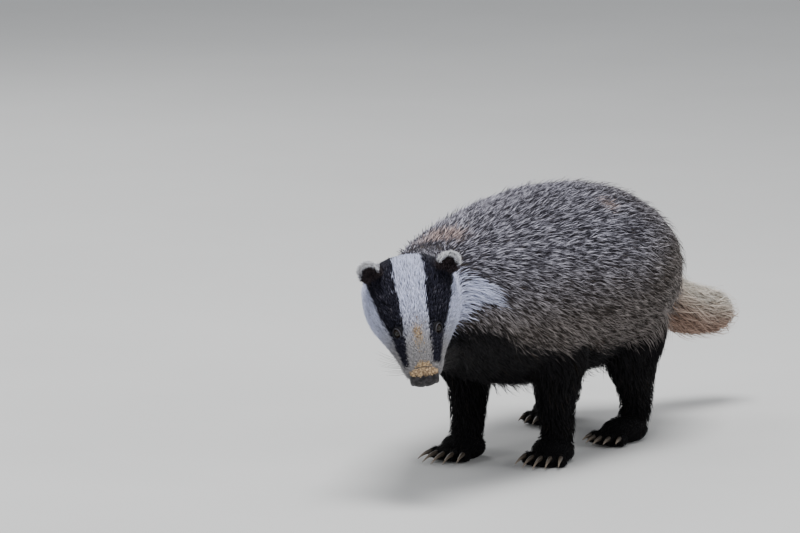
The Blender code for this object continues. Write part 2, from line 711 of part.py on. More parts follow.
def make_limb(limb, trunk_parts):
    """One leg, its paw and its five claws; the trunk's parts are cut clear of the leg."""
    fur = material("leg_fur", BLACK_FUR, 0.8)
    horn = material("claw_horn", HORN, 0.4)
    leg_loft = leg_form(limb)
    solid(f"{limb.name}_leg", leg_loft.shell(8, 14), fur)
    for part in trunk_parts:
        join(part, [solid("cut", leg_loft.shell(8, 14, GAP))], "DIFFERENCE", "MANIFOLD")

    stance = Matrix.Translation((limb.paw_side, limb.paw_along, 0))
    stance = stance @ Matrix.Rotation(limb.toe_in, 4, "Z")
    width, length = limb.paw_half_width, limb.paw_half_length
    pad = ball((0, 0.004, 0.013), (width, length, 0.0175), 6, 12)
    paw = solid(f"{limb.name}_paw", turned(pad, stance), fur)
    toes, claws = [], []
    for k in range(TOES):
        spread = (k - (TOES - 1) / 2) / ((TOES - 1) / 2)
        toe_x = spread * width * 0.80
        toe_y = -length * (0.97 - 0.24 * spread**2)
        radii = (0.0068, 0.0125, 0.0085)
        fan = Matrix.Translation((toe_x, toe_y, 0.0080)) @ Matrix.Rotation(0.22 * spread, 4, "Z")
        toes.append(solid("toe", turned(ball((0, 0, 0), radii, 5, 7), stance @ fan)))
        reach = limb.claw_length * (1.0 - 0.22 * spread**2)
        claw = claw_shape(reach, 0.0031)
        root = stance @ fan @ Matrix.Translation((0, -0.0095, 0.0030))
        solid(f"{limb.name}_claw_{k + 1}", turned(claw.shell(4, 5), root), horn)
        claws.append(solid("cut", turned(claw.shell(4, 5, GAP), root)))
    join(paw, toes, "UNION")
    below = bpy.data.meshes.new("below")
    corners = [(x, y, z) for z in (-0.1, 0.0) for x, y in ((-1, -1), (1, -1), (1, 1), (-1, 1))]
    box = [(0, 3, 2, 1), (4, 5, 6, 7), (0, 1, 5, 4), (1, 2, 6, 5), (2, 3, 7, 6), (3, 0, 4, 7)]
    below.from_pydata(corners, [], box)
    ground = bpy.data.objects.new("ground", below)
    bpy.context.scene.collection.objects.link(ground)
    cuts = [ground, solid("cut", leg_loft.shell(8, 14, GAP)), *claws]
    join(paw, cuts, "DIFFERENCE")


def centre_on_floor():
    """Moves every part so that the whole stands centred over the origin."""
    parts = list(bpy.context.scene.objects)
    points = np.array([v.co for part in parts for v in part.data.vertices])
    low, high = points.min(axis=0), points.max(axis=0)
    shift = Vector((-(low[0] + high[0]) / 2, -(low[1] + high[1]) / 2, -low[2]))
    for part in parts:
        part.data.transform(Matrix.Translation(shift))
    return shift


def main():
    for old in list(bpy.data.objects):
        bpy.data.objects.remove(old)
    place = head_matrix()
    skull = make_head(place)
    torso, neck = make_trunk(place, skull)
    make_tail(torso)
    for limb in LIMBS:
        make_limb(limb, (torso, neck) if limb.name.startswith("fore") else (torso,))
    centre_on_floor()


main()
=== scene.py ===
"""A walking European badger: skin, fur, eyes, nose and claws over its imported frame.

Metres, +Z up. The badger faces -Y and its left side is +X. One closed skin stands in for the
flesh, and the fur is solid tufts that run along the lie of the coat.
"""

import logging
import math
from dataclasses import dataclass
from enum import IntEnum
from typing import Any, NamedTuple, Sequence

import bpy
import numpy as np
from mathutils import Matrix, Vector


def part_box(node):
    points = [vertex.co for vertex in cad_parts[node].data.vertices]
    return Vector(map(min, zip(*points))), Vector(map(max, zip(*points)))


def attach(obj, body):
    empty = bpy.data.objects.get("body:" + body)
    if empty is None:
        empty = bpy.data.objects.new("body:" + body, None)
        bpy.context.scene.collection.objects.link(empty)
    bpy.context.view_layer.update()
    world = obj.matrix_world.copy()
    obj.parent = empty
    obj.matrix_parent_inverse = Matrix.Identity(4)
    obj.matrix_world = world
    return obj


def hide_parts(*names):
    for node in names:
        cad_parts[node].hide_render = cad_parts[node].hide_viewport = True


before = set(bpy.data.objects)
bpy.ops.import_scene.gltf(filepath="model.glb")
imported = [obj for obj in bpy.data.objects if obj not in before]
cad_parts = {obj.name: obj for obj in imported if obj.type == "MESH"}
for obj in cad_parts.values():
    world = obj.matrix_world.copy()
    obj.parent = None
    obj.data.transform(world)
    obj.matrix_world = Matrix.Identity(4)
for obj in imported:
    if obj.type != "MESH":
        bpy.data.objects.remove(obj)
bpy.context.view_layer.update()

logging.basicConfig(level=logging.INFO, format="%(message)s")
log = logging.getLogger("badger")

Array = np.ndarray
Material, Mesh, Object = bpy.types.Material, bpy.types.Mesh, bpy.types.Object
Pair, Triple = tuple[float, float], tuple[float, float, float]
Colour = Triple
Shape = tuple[Array, list[tuple[int, ...]]]

IMAGE_WIDTH, IMAGE_HEIGHT = 800, 533
SEED = 20
UP = np.array([0.0, 0.0, 1.0])
BACKWARD = np.array([0.0, 1.0, 0.0])
TUFT_PATCH = 0.003
SIDES = ((1, "left"), (-1, "right"))


# Numbers in rows

def unit(vectors: Array) -> Array:
    """The vectors at length one."""
    return vectors / np.maximum(np.linalg.norm(vectors, axis=-1, keepdims=True), 1e-12)


def dot(a: Array, b: Array) -> Array:
    """The dot product of each pair of vectors, kept as a column."""
    return (a * b).sum(axis=-1, keepdims=True)


def flat_on(vectors: Array, normals: Array) -> Array:
    """The vectors laid into the planes that the normals stand on, at length one."""
    return unit(vectors - dot(vectors, normals) * normals)


def ease(low: float, high: float, values: Array) -> Array:
    """A smooth step, 3t^2 - 2t^3: 0 at low and before, 1 at high and after; high may be less."""
    t = np.clip((values - low) / (high - low), 0, 1)
    return t * t * (3 - 2 * t)


def bell(values: Array, middle: Any, width: float) -> Array:
    """A soft spot on a line: exp(-u^2), where u is the distance from the middle in widths."""
    return np.exp(-(((values - middle) / width) ** 2))


def bump(points: Array, centre: Sequence[float], radius: Sequence[float] | float) -> Array:
    """A soft spot: exp(-r^2), where r is the distance from the centre in radii."""
    return np.exp(-(((points - np.array(centre)) / np.array(radius)) ** 2).sum(axis=-1))


def smooth_rows(rows: Array, places: Array) -> Array:
    """Rows read at each place, from 0 to 1, of a Catmull-Rom curve through the given rows.

    Args:
        rows: the curve's points.
        places: where to read it.

    Returns:
        A row for each place.
    """
    ends = np.vstack([2 * rows[0] - rows[1], rows, 2 * rows[-1] - rows[-2]])
    along = np.clip(places, 0, 1) * (len(rows) - 1)
    first = np.minimum(along.astype(int), len(rows) - 2)
    u = (along - first)[:, None]
    a, b, c, d = (ends[first + k] for k in range(4))
    return 0.5 * (
        2 * b + (c - a) * u + (2 * a - 5 * b + 4 * c - d) * u**2 + (3 * b - a - 3 * c + d) * u**3
    )


def placed(points: Array, matrix: Matrix) -> Array:
    """The points moved by a matrix."""
    m = np.array(matrix)
    return points @ m[:3, :3].T + m[:3, 3]


def in_frame(points: Array, matrix: Matrix) -> Array:
    """Points in the coordinates of a frame that the matrix places."""
    return placed(points, matrix.inverted())


def moved(shape: Shape, matrix: Matrix) -> Shape:
    """A shape with its points moved by a matrix."""
    return placed(shape[0], matrix), shape[1]


def quad_faces(rows: int, columns: int, points_down: int, points_across: int) -> list[list[int]]:
    """Four-cornered faces of a grid of points, which closes where a face would pass its edge.

    Args:
        rows: how many rows of faces.
        columns: how many faces to a row.
        points_down: how many rows of points.
        points_across: how many points to a row.

    Returns:
        Each face's corners: its own point, the next one down, across from it and back up.
    """
    k, row = np.arange(columns), np.arange(rows)[:, None]
    after, below = (k + 1) % points_across, (row + 1) % points_down
    row, below = row * points_across, below * points_across
    return np.stack([row + k, below + k, below + after, row + after], -1).reshape(-1, 4).tolist()


def grid_faces(rows: int, columns: int) -> list[tuple[int, ...]]:
    """Faces of a grid that closes round its columns, with a pole before and after its rows.

    Args:
        rows: the rows of points.
        columns: the points to a row.

    Returns:
        The corners of each face; the poles come last among the points.
    """
    k = np.arange(columns)
    after = (k + 1) % columns
    start = np.arange(rows - 1)[:, None] * columns
    quads = np.stack([start + k, start + after, start + after + columns, start + k + columns], -1)
    low, high = rows * columns, rows * columns + 1
    top = (rows - 1) * columns
    faces = [tuple(face) for face in quads.reshape(-1, 4).tolist()]
    faces += [(low, int(b), int(a)) for a, b in zip(k, after)]
    faces += [(high, top + int(a), top + int(b)) for a, b in zip(k, after)]
    return faces


def ellipsoid(radii: Sequence[float], rows: int = 14, columns: int = 24) -> Shape:
    """A closed ball: x = a cos(t) cos(p), y = b cos(t) sin(p), z = c sin(t).

    Args:
        radii: a, b and c.
        rows: the rings between the poles.
        columns: the points to a ring.

    Returns:
        The points and faces.
    """
    tilt = np.linspace(-math.pi / 2, math.pi / 2, rows + 2)[1:-1, None]
    turn = np.linspace(0, 2 * math.pi, columns, endpoint=False)[None]
    ring = np.stack(
        [np.cos(tilt) * np.cos(turn), np.cos(tilt) * np.sin(turn), np.sin(tilt) + 0 * turn], -1
    ).reshape(-1, 3)
    points = np.vstack([ring, [[0, 0, -1], [0, 0, 1]]]) * np.array(radii)
    return points, grid_faces(rows, columns)


def tube(path: Array, radii: Array, columns: int = 8) -> Shape:
    """A closed tube: at each point of the path a circle of the given radius, square to the path.

    Args:
        path: the centreline's points.
        radii: one for each of them.
        columns: the points to a circle.

    Returns:
        The points and faces.
    """
    along = unit(np.gradient(path, axis=0))
    side = flat_on(np.broadcast_to([0.31, 0.23, 0.92], path.shape), along)
    other = np.cross(along, side)
    turn = np.linspace(0, 2 * math.pi, columns, endpoint=False)[None, :, None]
    ring = path[:, None] + radii[:, None, None] * (
        np.cos(turn) * side[:, None] + np.sin(turn) * other[:, None]
    )
    points = np.vstack([ring.reshape(-1, 3), path[:1], path[-1:]])
    return points, grid_faces(len(path), columns)


def joined(shapes: Sequence[Shape]) -> Shape:
    """Several shapes as one list of points and one of faces.

    Args:
        shapes: the shapes.

    Returns:
        Their points and faces, numbered on.
    """
    points, faces, start = [], [], 0
    for shape_points, shape_faces in shapes:
        points.append(shape_points)
        faces += [tuple(int(i) + start for i in face) for face in shape_faces]
        start += len(shape_points)
    return np.vstack(points), faces


def eye_middle() -> Vector:
    """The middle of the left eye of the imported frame."""
    low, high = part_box("eye_left")
    return (Vector(low) + Vector(high)) / 2


def add_object(name: str, data: bpy.types.ID) -> Object:
    """A new object in the scene, at the origin.

    Args:
        name: what it is called.
        data: the mesh, camera or light that it holds.

    Returns:
        The object.
    """
    made = bpy.data.objects.new(name, data)
    bpy.context.scene.collection.objects.link(made)
    return made


def mesh_from(name: str, shape: Shape) -> Mesh:
    """A smooth mesh from points and faces.

    Args:
        name: what it is called.
        shape: its points and faces.

    Returns:
        The mesh.
    """
    mesh = bpy.data.meshes.new(name)
    mesh.from_pydata(shape[0].tolist(), [], [tuple(map(int, face)) for face in shape[1]])
    mesh.shade_smooth()
    return mesh


def axes_at(centre: Vector, x: Vector, y: Vector, z: Vector) -> Matrix:
    """The frame at a centre whose axes point along three vectors."""
    return Matrix.Translation(centre) @ Matrix((x, y, z)).transposed().to_4x4()


def on_side(place: Sequence[float], hand: int) -> Vector:
    """A place or direction of the left side, mirrored for the right side's hand of -1."""
    return Vector((place[0] * hand, place[1], place[2]))


def fetch(items: Any, name: str, width: int, kind: type = np.float32) -> Array:
    """A property of each item of a mesh.

    Args:
        items: its vertices, edges or the like.
        name: the property's name.
        width: how many numbers it has.
        kind: their type.

    Returns:
        One row to an item.
    """
    values = np.empty(len(items) * width, kind)
    items.foreach_get(name, values)
    return values.reshape(-1, width)


def read_points(mesh: Mesh) -> Array:
    """The places of a mesh's vertices."""
    return fetch(mesh.vertices, "co", 3).astype(float)


def write_points(mesh: Mesh, points: Array) -> None:
    """Sets the places of a mesh's vertices."""
    mesh.vertices.foreach_set("co", points.astype(np.float32).ravel())
    mesh.update()


def applied(source: Object) -> Mesh:
    """The object's mesh with its modifiers in it; they are then taken off.

    Args:
        source: the object.

    Returns:
        A new mesh.
    """
    graph = bpy.context.evaluated_depsgraph_get()
    mesh = bpy.data.meshes.new_from_object(source.evaluated_get(graph))
    source.modifiers.clear()
    return mesh


def store(mesh: Mesh, name: str, values: Array) -> None:
    """Keeps a number or a vector for each vertex as a named attribute.

    Args:
        mesh: the mesh that gets the attribute.
        name: what the attribute is called.
        values: one number or one row of three numbers for each vertex.
    """
    vector = values.ndim == 2
    kind, slot = ("FLOAT_VECTOR", "vector") if vector else ("FLOAT", "value")
    made = mesh.attributes.get(name) or mesh.attributes.new(name, kind, "POINT")
    made.data.foreach_set(slot, np.ascontiguousarray(values, np.float32).ravel())


def show(mesh: Mesh, finish: Material, slot: str, *nodes: str) -> Object:
    """Adds a finished piece to the scene.

    Args:
        mesh: its shape, under the piece's name.
        finish: its material.
        slot: a material slot's name; not used.
        nodes: the solids that it stands for.

    Returns:
        The piece.
    """
    mesh.materials.append(finish)
    made = add_object(mesh.name, mesh)
    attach(made, "root")
    if nodes:
        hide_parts(*nodes)
    log.info("%s: %d faces", mesh.name, len(mesh.polygons))
    return made


# Shader nodes

class Value:
    """A shader socket that takes part in Python sums."""

    def __init__(self, tree: "Shader", socket: bpy.types.NodeSocket) -> None:
        """Wraps a socket of a shader."""
        self.tree = tree
        self.socket = socket

    def math(self, operation: str, *terms: Any) -> "Value":
        """The result of a Math node on the given terms."""
        return self.tree.node("ShaderNodeMath", {"operation": operation}, dict(enumerate(terms)))

    def __add__(self, other: Any) -> "Value":
        """This value plus another."""
        return self.math("ADD", self, other)

    __radd__ = __add__

    def __mul__(self, other: Any) -> "Value":
        """This value times another."""
        return self.math("MULTIPLY", self, other)

    __rmul__ = __mul__

    def __sub__(self, other: Any) -> "Value":
        """This value less another."""
        return self.math("SUBTRACT", self, other)

    def __rsub__(self, other: Any) -> "Value":
        """Another value less this one."""
        return self.math("SUBTRACT", other, self)

    def clamped(self) -> "Value":
        """This value held between 0 and 1."""
        return self.tree.node("ShaderNodeClamp", {}, {"Value": self, "Min": 0.0, "Max": 1.0})

    def between(self, low: float, high: float) -> "Value":
        """A smooth step that is 0 at low and 1 at high.

        Args:
            low: where it starts.
            high: where it ends.

        Returns:
            The step, from 0 to 1.
        """
        return self.tree.node(
            "ShaderNodeMapRange",
            {"interpolation_type": "SMOOTHSTEP"},
            {"Value": self, "From Min": low, "From Max": high, "To Min": 0.0, "To Max": 1.0},
        )


class Shader:
    """A material whose nodes are added one by one."""

    def __init__(self, name: str) -> None:
        """Makes an empty material with its Principled shader and output.

        Args:
            name: what it is called.
        """
        self.material = bpy.data.materials.new(name)
        self.material.use_nodes = True
        self.nodes = self.material.node_tree.nodes
        self.links = self.material.node_tree.links
        self.surface = self.nodes["Principled BSDF"]

    def node(
        self, kind: str, settings: dict[str, Any], sockets: dict[Any, Any], output: Any = 0
    ) -> Value:
        """Adds a node.

        Args:
            kind: the node's type.
            settings: what is set on the node first.
            sockets: values or links of the inputs, by name or number.
            output: the output to return, by name or number.

        Returns:
            The wanted output.
        """
        made = self.nodes.new(kind)
        for name, value in settings.items():
            setattr(made, name, value)
        self.fill(made, sockets)
        return Value(self, made.outputs[output])

    def fill(self, made: bpy.types.Node, sockets: dict[Any, Any]) -> None:
        """Sets or links the inputs of a node, by name or number.

        Args:
            made: the node.
            sockets: values or links by name or number.
        """
        for name, value in sockets.items():
            if isinstance(value, Value):
                self.links.new(value.socket, made.inputs[name])
            elif isinstance(value, tuple) and made.inputs[name].type == "RGBA":
                made.inputs[name].default_value = (*value, 1.0)
            else:
                made.inputs[name].default_value = value

    def attribute(self, name: str) -> Value:
        """A number that the mesh keeps for each vertex."""
        return self.node("ShaderNodeAttribute", {"attribute_name": name}, {}, "Fac")

    def place(self) -> Value:
        """The object's own coordinates, in metres."""
        return self.node("ShaderNodeTexCoord", {}, {}, "Object")

    def stretched(self, size: Sequence[float]) -> Value:
        """The object's own coordinates times a size on each axis."""
        return self.node(
            "ShaderNodeVectorMath", {"operation": "MULTIPLY"}, {0: self.place(), 1: tuple(size)}
        )

    def noise(self, where: Value, scale: float, detail: float = 3.0) -> Value:
        """A cloudy pattern from 0 to 1, with about scale spots to the metre."""
        sockets = {"Vector": where, "Scale": scale, "Detail": detail, "Roughness": 0.55}
        return self.node("ShaderNodeTexNoise", {}, sockets)

    def mix(self, share: Any, a: Any, b: Any, blend: str = "MIX") -> Value:
        """Colour a where share is 0 and colour b where it is 1."""
        settings = {"data_type": "RGBA", "blend_type": blend, "clamp_factor": True}
        return self.node("ShaderNodeMix", settings, {0: share, 6: a, 7: b}, 2)

    def finish(
        self, colour: Value, rough: Any, height: Any = 0.0, depth: float = 0.0, shine: float = 0.5
    ) -> Material:
        """Sets the surface and returns the material.

        Args:
            colour: the colour.
            rough: the roughness, from 0 to 1.
            height: a pattern from 0 to 1 that stands out of the surface.
            depth: how far it stands out at 1, in metres.
            shine: the strength of the highlights; 0.5 is that of most materials.

        Returns:
            The material.
        """
        sockets = {"Base Color": colour, "Roughness": rough, "Specular IOR Level": shine}
        if depth:
            bend = {"Height": height, "Strength": 1.0, "Distance": depth}
            sockets["Normal"] = self.node("ShaderNodeBump", {}, bend, "Normal")
        self.fill(self.surface, sockets)
        return self.material


# The form of the body

class Station(NamedTuple):
    """One section of a loft: its centre, and how far it reaches sideways, up and down."""

    side: float
    along: float
    height: float
    half_width: float
    rise: float
    drop: float


class Loft:
    """Oval sections along a smooth centreline, with a dome or a flat face at each end."""

    def __init__(
        self,
        stations: Sequence[Station],
        squareness: float = 2.0,
        domes: Pair = (0.0, 0.0),
        inset: float = 0.0,
    ) -> None:
        """Keeps the sections, drawn in by the inset.

        Args:
            stations: the sections.
            squareness: 2 for an oval and more for a fuller one.
            domes: how much of each end is a dome.
            inset: how far the sections are drawn in.
        """
        self.rows = np.array(stations, float)
        self.rows[:, 3:] -= inset
        self.power = 2.0 / squareness
        self.domes = domes

    def swell(self, places: Array) -> Array:
        """The share of its full size that each section has: sqrt(1 - u^2) in a dome.

        Args:
            places: places along the loft, from 0 to 1.

        Returns:
            A share for each of them.
        """
        share = np.ones(len(places))
        for depth, distance in zip(self.domes, (places, 1 - places)):
            if depth:
                share *= np.sqrt(1 - np.clip(1 - distance / depth, 0, 1) ** 2)
        return share

    def frames(self, places: Array) -> tuple[Array, Array, Array, Array]:
        """The centre and the side, up and forward directions of each section.

        Args:
            places: places along the loft, from 0 to 1.

        Returns:
            Four arrays, one row to a place.
        """
        step = 1e-3
        ahead = smooth_rows(self.rows, places + step)[:, :3]
        behind = smooth_rows(self.rows, places - step)[:, :3]
        tangent = unit(ahead - behind)
        side = flat_on(np.broadcast_to([1.0, 0.0, 0.0], tangent.shape), tangent)
        return smooth_rows(self.rows, places)[:, :3], side, np.cross(tangent, side), tangent

    def shell(self, rings: int, columns: int) -> Shape:
        """The closed mesh: centre + width cos(a) side + reach sin(a) up, for each place.

        Args:
            rings: the sections between the domes.
            columns: the points to a section.

        Returns:
            The points and faces.
        """
        places = np.linspace(0, 1, rings)
        start, end = self.domes
        bend = 1 - np.cos(np.linspace(0, math.pi / 2, 8)[1:-1])
        if start:
            places = np.concatenate([start * bend, places[places >= start]])
        if end:
            places = np.concatenate([places[places <= 1 - end], 1 - end * bend[::-1]])
        angles = np.linspace(0, 2 * math.pi, columns, endpoint=False)
        centre, side, up, _ = self.frames(places)
        width, rise, drop = (smooth_rows(self.rows, places)[:, 3:] * self.swell(places)[:, None]).T
        across = np.sign(np.cos(angles)) * np.abs(np.cos(angles)) ** self.power
        upward = np.sign(np.sin(angles)) * np.abs(np.sin(angles)) ** self.power
        reach = np.where(upward > 0, rise[:, None], drop[:, None])
        points = (
            centre[:, None]
            + (width[:, None] * across)[..., None] * side[:, None]
            + (reach * upward)[..., None] * up[:, None]
        )
        poles = self.frames(np.array([0.0, 1.0]))[0]
        return np.vstack([points.reshape(-1, 3), poles]), grid_faces(len(places), columns)

    def where(self, points: Array) -> tuple[Array, Array, Array]:
        """How points lie to the loft.

        Args:
            points: the points, one to a row.

        Returns:
            The distance from the centreline in shares of the section's size, the place along
            the centreline and the angle round it.
        """
        places = np.linspace(0, 1, 90)
        centre, side, up, tangent = self.frames(places)
        size = smooth_rows(self.rows, places)[:, 3:]
        away = (points**2).sum(axis=1)[:, None] + (centre**2).sum(axis=1) - 2 * points @ centre.T
        near = away.argmin(axis=1)
        offset = points - centre[near]
        across = dot(offset, side[near])[:, 0]
        height = dot(offset, up[near])[:, 0]
        ahead = dot(offset, tangent[near])[:, 0]
        reach = np.where(height > 0, size[near, 1], size[near, 2])
        share = np.sqrt(
            (across / size[near, 0]) ** 2 + (height / reach) ** 2 + (ahead / size[near, 0]) ** 2
        )
        return share, places[near], np.arctan2(height / reach, across / size[near, 0])

    def lie(self, points: Array) -> Array:
        """The forward direction of the centreline next to each point."""
        place = self.where(points)[1]
        return self.frames(place)[3]


@dataclass(frozen=True)
class Limb:
    """A leg's sections down to its paw, and where the paw stands."""

    name: str
    sections: tuple[Station, ...]
    paw_side: float
    paw_along: float
    half_width: float
    half_length: float
    claw_length: float
    toe_in: float

    @property
    def stance(self) -> Matrix:
        """The paw's frame: its own -Y points to the toes."""
        return Matrix.Translation((self.paw_side, self.paw_along, 0)) @ Matrix.Rotation(
            self.toe_in, 4, "Z"
        )

    def toes(self) -> list[tuple[float, Matrix]]:
        """The five toes.

        Returns:
            How far each stands to the side, from -1 to 1, and its frame.
        """
        made = []
        for k in range(5):
            spread = (k - 2) / 2
            toe_along = -self.half_length * (0.97 - 0.24 * spread**2)
            place = Matrix.Translation((spread * self.half_width * 0.8, toe_along, 0.008))
            made.append((spread, self.stance @ place @ Matrix.Rotation(0.22 * spread, 4, "Z")))
        return made


def stations(*rows: tuple[float, ...]) -> tuple[Station, ...]:
    """Stations from rows of their numbers."""
    return tuple(Station(*row) for row in rows)


def foreleg(name: str, hand: int, tread_side: float, along: float, toe_in: float) -> Limb:
    """The foreleg on one side: shoulder, elbow and wrist over a short paw.

    Args:
        name: the leg's name.
        hand: +1 for the left side, -1 for the right.
        tread_side: how far out the paw stands.
        along: where it stands.
        toe_in: its turn, in degrees.

    Returns:
        The leg.
    """
    wrist = tread_side * hand
    sections = stations(
        (0.066 * hand, -0.066, 0.16, 0.032, 0.041, 0.043),
        (0.069 * hand, -0.054, 0.126, 0.032, 0.039, 0.041),
        (0.4 * wrist + 0.038 * hand, -0.05, 0.094, 0.027, 0.03, 0.031),
        (0.7 * wrist + 0.018 * hand, (along - 0.036) / 2, 0.064, 0.023, 0.024, 0.025),
        (wrist, along + 0.015, 0.038, 0.021, 0.021, 0.0215),
        (wrist, along + 0.009, 0.021, 0.02, 0.021, 0.02),
    )
    return Limb(name, sections, wrist, along, 0.0255, 0.032, 0.027, math.radians(toe_in))


def hindleg(name: str, hand: int, tread_side: float, along: float, toe_in: float) -> Limb:
    """The hind leg on one side: thigh, knee, hock and heel over a long paw.

    Args:
        name: the leg's name.
        hand: +1 for the left side, -1 for the right.
        tread_side: how far out the paw stands.
        along: where it stands.
        toe_in: its turn, in degrees.

    Returns:
        The leg.
    """
    knee = along + 0.006
    heel = tread_side * hand
    sections = stations(
        (0.057 * hand, 0.166, 0.168, 0.041, 0.057, 0.056),
        (0.07 * hand, (knee + 0.157) / 2, 0.134, 0.039, 0.054, 0.052),
        (0.076 * hand, knee + 0.011, 0.099, 0.0315, 0.039, 0.039),
        (0.074 * hand, knee + 0.022, 0.07, 0.024, 0.027, 0.029),
        (heel, knee + 0.03, 0.043, 0.02, 0.022, 0.0225),
        (heel, knee + 0.024, 0.023, 0.019, 0.022, 0.0205),
    )
    return Limb(name, sections, heel, along, 0.0235, 0.04, 0.016, math.radians(toe_in))


TRUNK = stations(
    (0.0, 0.272, 0.182, 0.054, 0.042, 0.058),
    (0.0, 0.24, 0.189, 0.08, 0.069, 0.08),
    (0.0, 0.196, 0.193, 0.101, 0.093, 0.092),
    (0.0, 0.14, 0.195, 0.1165, 0.109, 0.1),
    (0.0, 0.07, 0.195, 0.1215, 0.116, 0.104),
    (0.0, 0.0, 0.194, 0.118, 0.118, 0.103),
    (0.0, -0.06, 0.193, 0.112, 0.115, 0.099),
    (0.001, -0.111, 0.195, 0.1055, 0.109, 0.09),
    (0.003, -0.157, 0.199, 0.097, 0.101, 0.08),
    (0.007, -0.199, 0.205, 0.087, 0.091, 0.071),
    (0.011, -0.236, 0.213, 0.0755, 0.077, 0.066),
    (0.014, -0.272, 0.221, 0.065, 0.063, 0.06),
    (0.015, -0.308, 0.23, 0.0555, 0.049, 0.052),
)
TAIL = stations(
    (0.0575, 0.403, 0.113, 0.011, 0.011, 0.011),
    (0.049, 0.38, 0.117, 0.0235, 0.0245, 0.0245),
    (0.031, 0.337, 0.128, 0.029, 0.03, 0.03),
    (0.015, 0.296, 0.148, 0.0295, 0.0305, 0.031),
    (0.004, 0.248, 0.173, 0.025, 0.025, 0.026),
    (0.0, 0.226, 0.183, 0.022, 0.022, 0.022),
)
HEAD = stations(
    (0.0, 0.0, -0.002, 0.048, 0.042, 0.04),
    (0.0, -0.02, 0.0, 0.0545, 0.047, 0.046),
    (0.0, -0.04, 0.0, 0.056, 0.048, 0.048),
    (0.0, -0.06, 0.0, 0.0535, 0.045, 0.045),
    (0.0, -0.08, 0.0, 0.048, 0.039, 0.037),
    (0.0, -0.098, 0.0, 0.0395, 0.032, 0.028),
    (0.0, -0.115, 0.0, 0.0308, 0.0262, 0.019),
    (0.0, -0.128, 0.0, 0.0255, 0.0215, 0.015),
    (0.0, -0.138, 0.0, 0.022, 0.0178, 0.0125),
    (0.0, -0.145, 0.0, 0.0192, 0.0148, 0.0105),
)
JAW = stations(
    (0.0, -0.045, -0.03, 0.0285, 0.015, 0.0225),
    (0.0, -0.07, -0.028, 0.027, 0.014, 0.0195),
    (0.0, -0.095, -0.0215, 0.0232, 0.013, 0.0155),
    (0.0, -0.115, -0.0165, 0.019, 0.011, 0.012),
    (0.0, -0.13, -0.013, 0.0155, 0.0085, 0.0098),
    (0.0, -0.1375, -0.0115, 0.0128, 0.0065, 0.0078),
)
NOSE = stations(
    (0.0, -0.1385, 0.003, 0.0155, 0.012, 0.009),
    (0.0, -0.146, 0.0026, 0.0168, 0.013, 0.01),
    (0.0, -0.152, 0.002, 0.0165, 0.0122, 0.0098),
    (0.0, -0.1565, 0.0014, 0.015, 0.01, 0.0085),
)


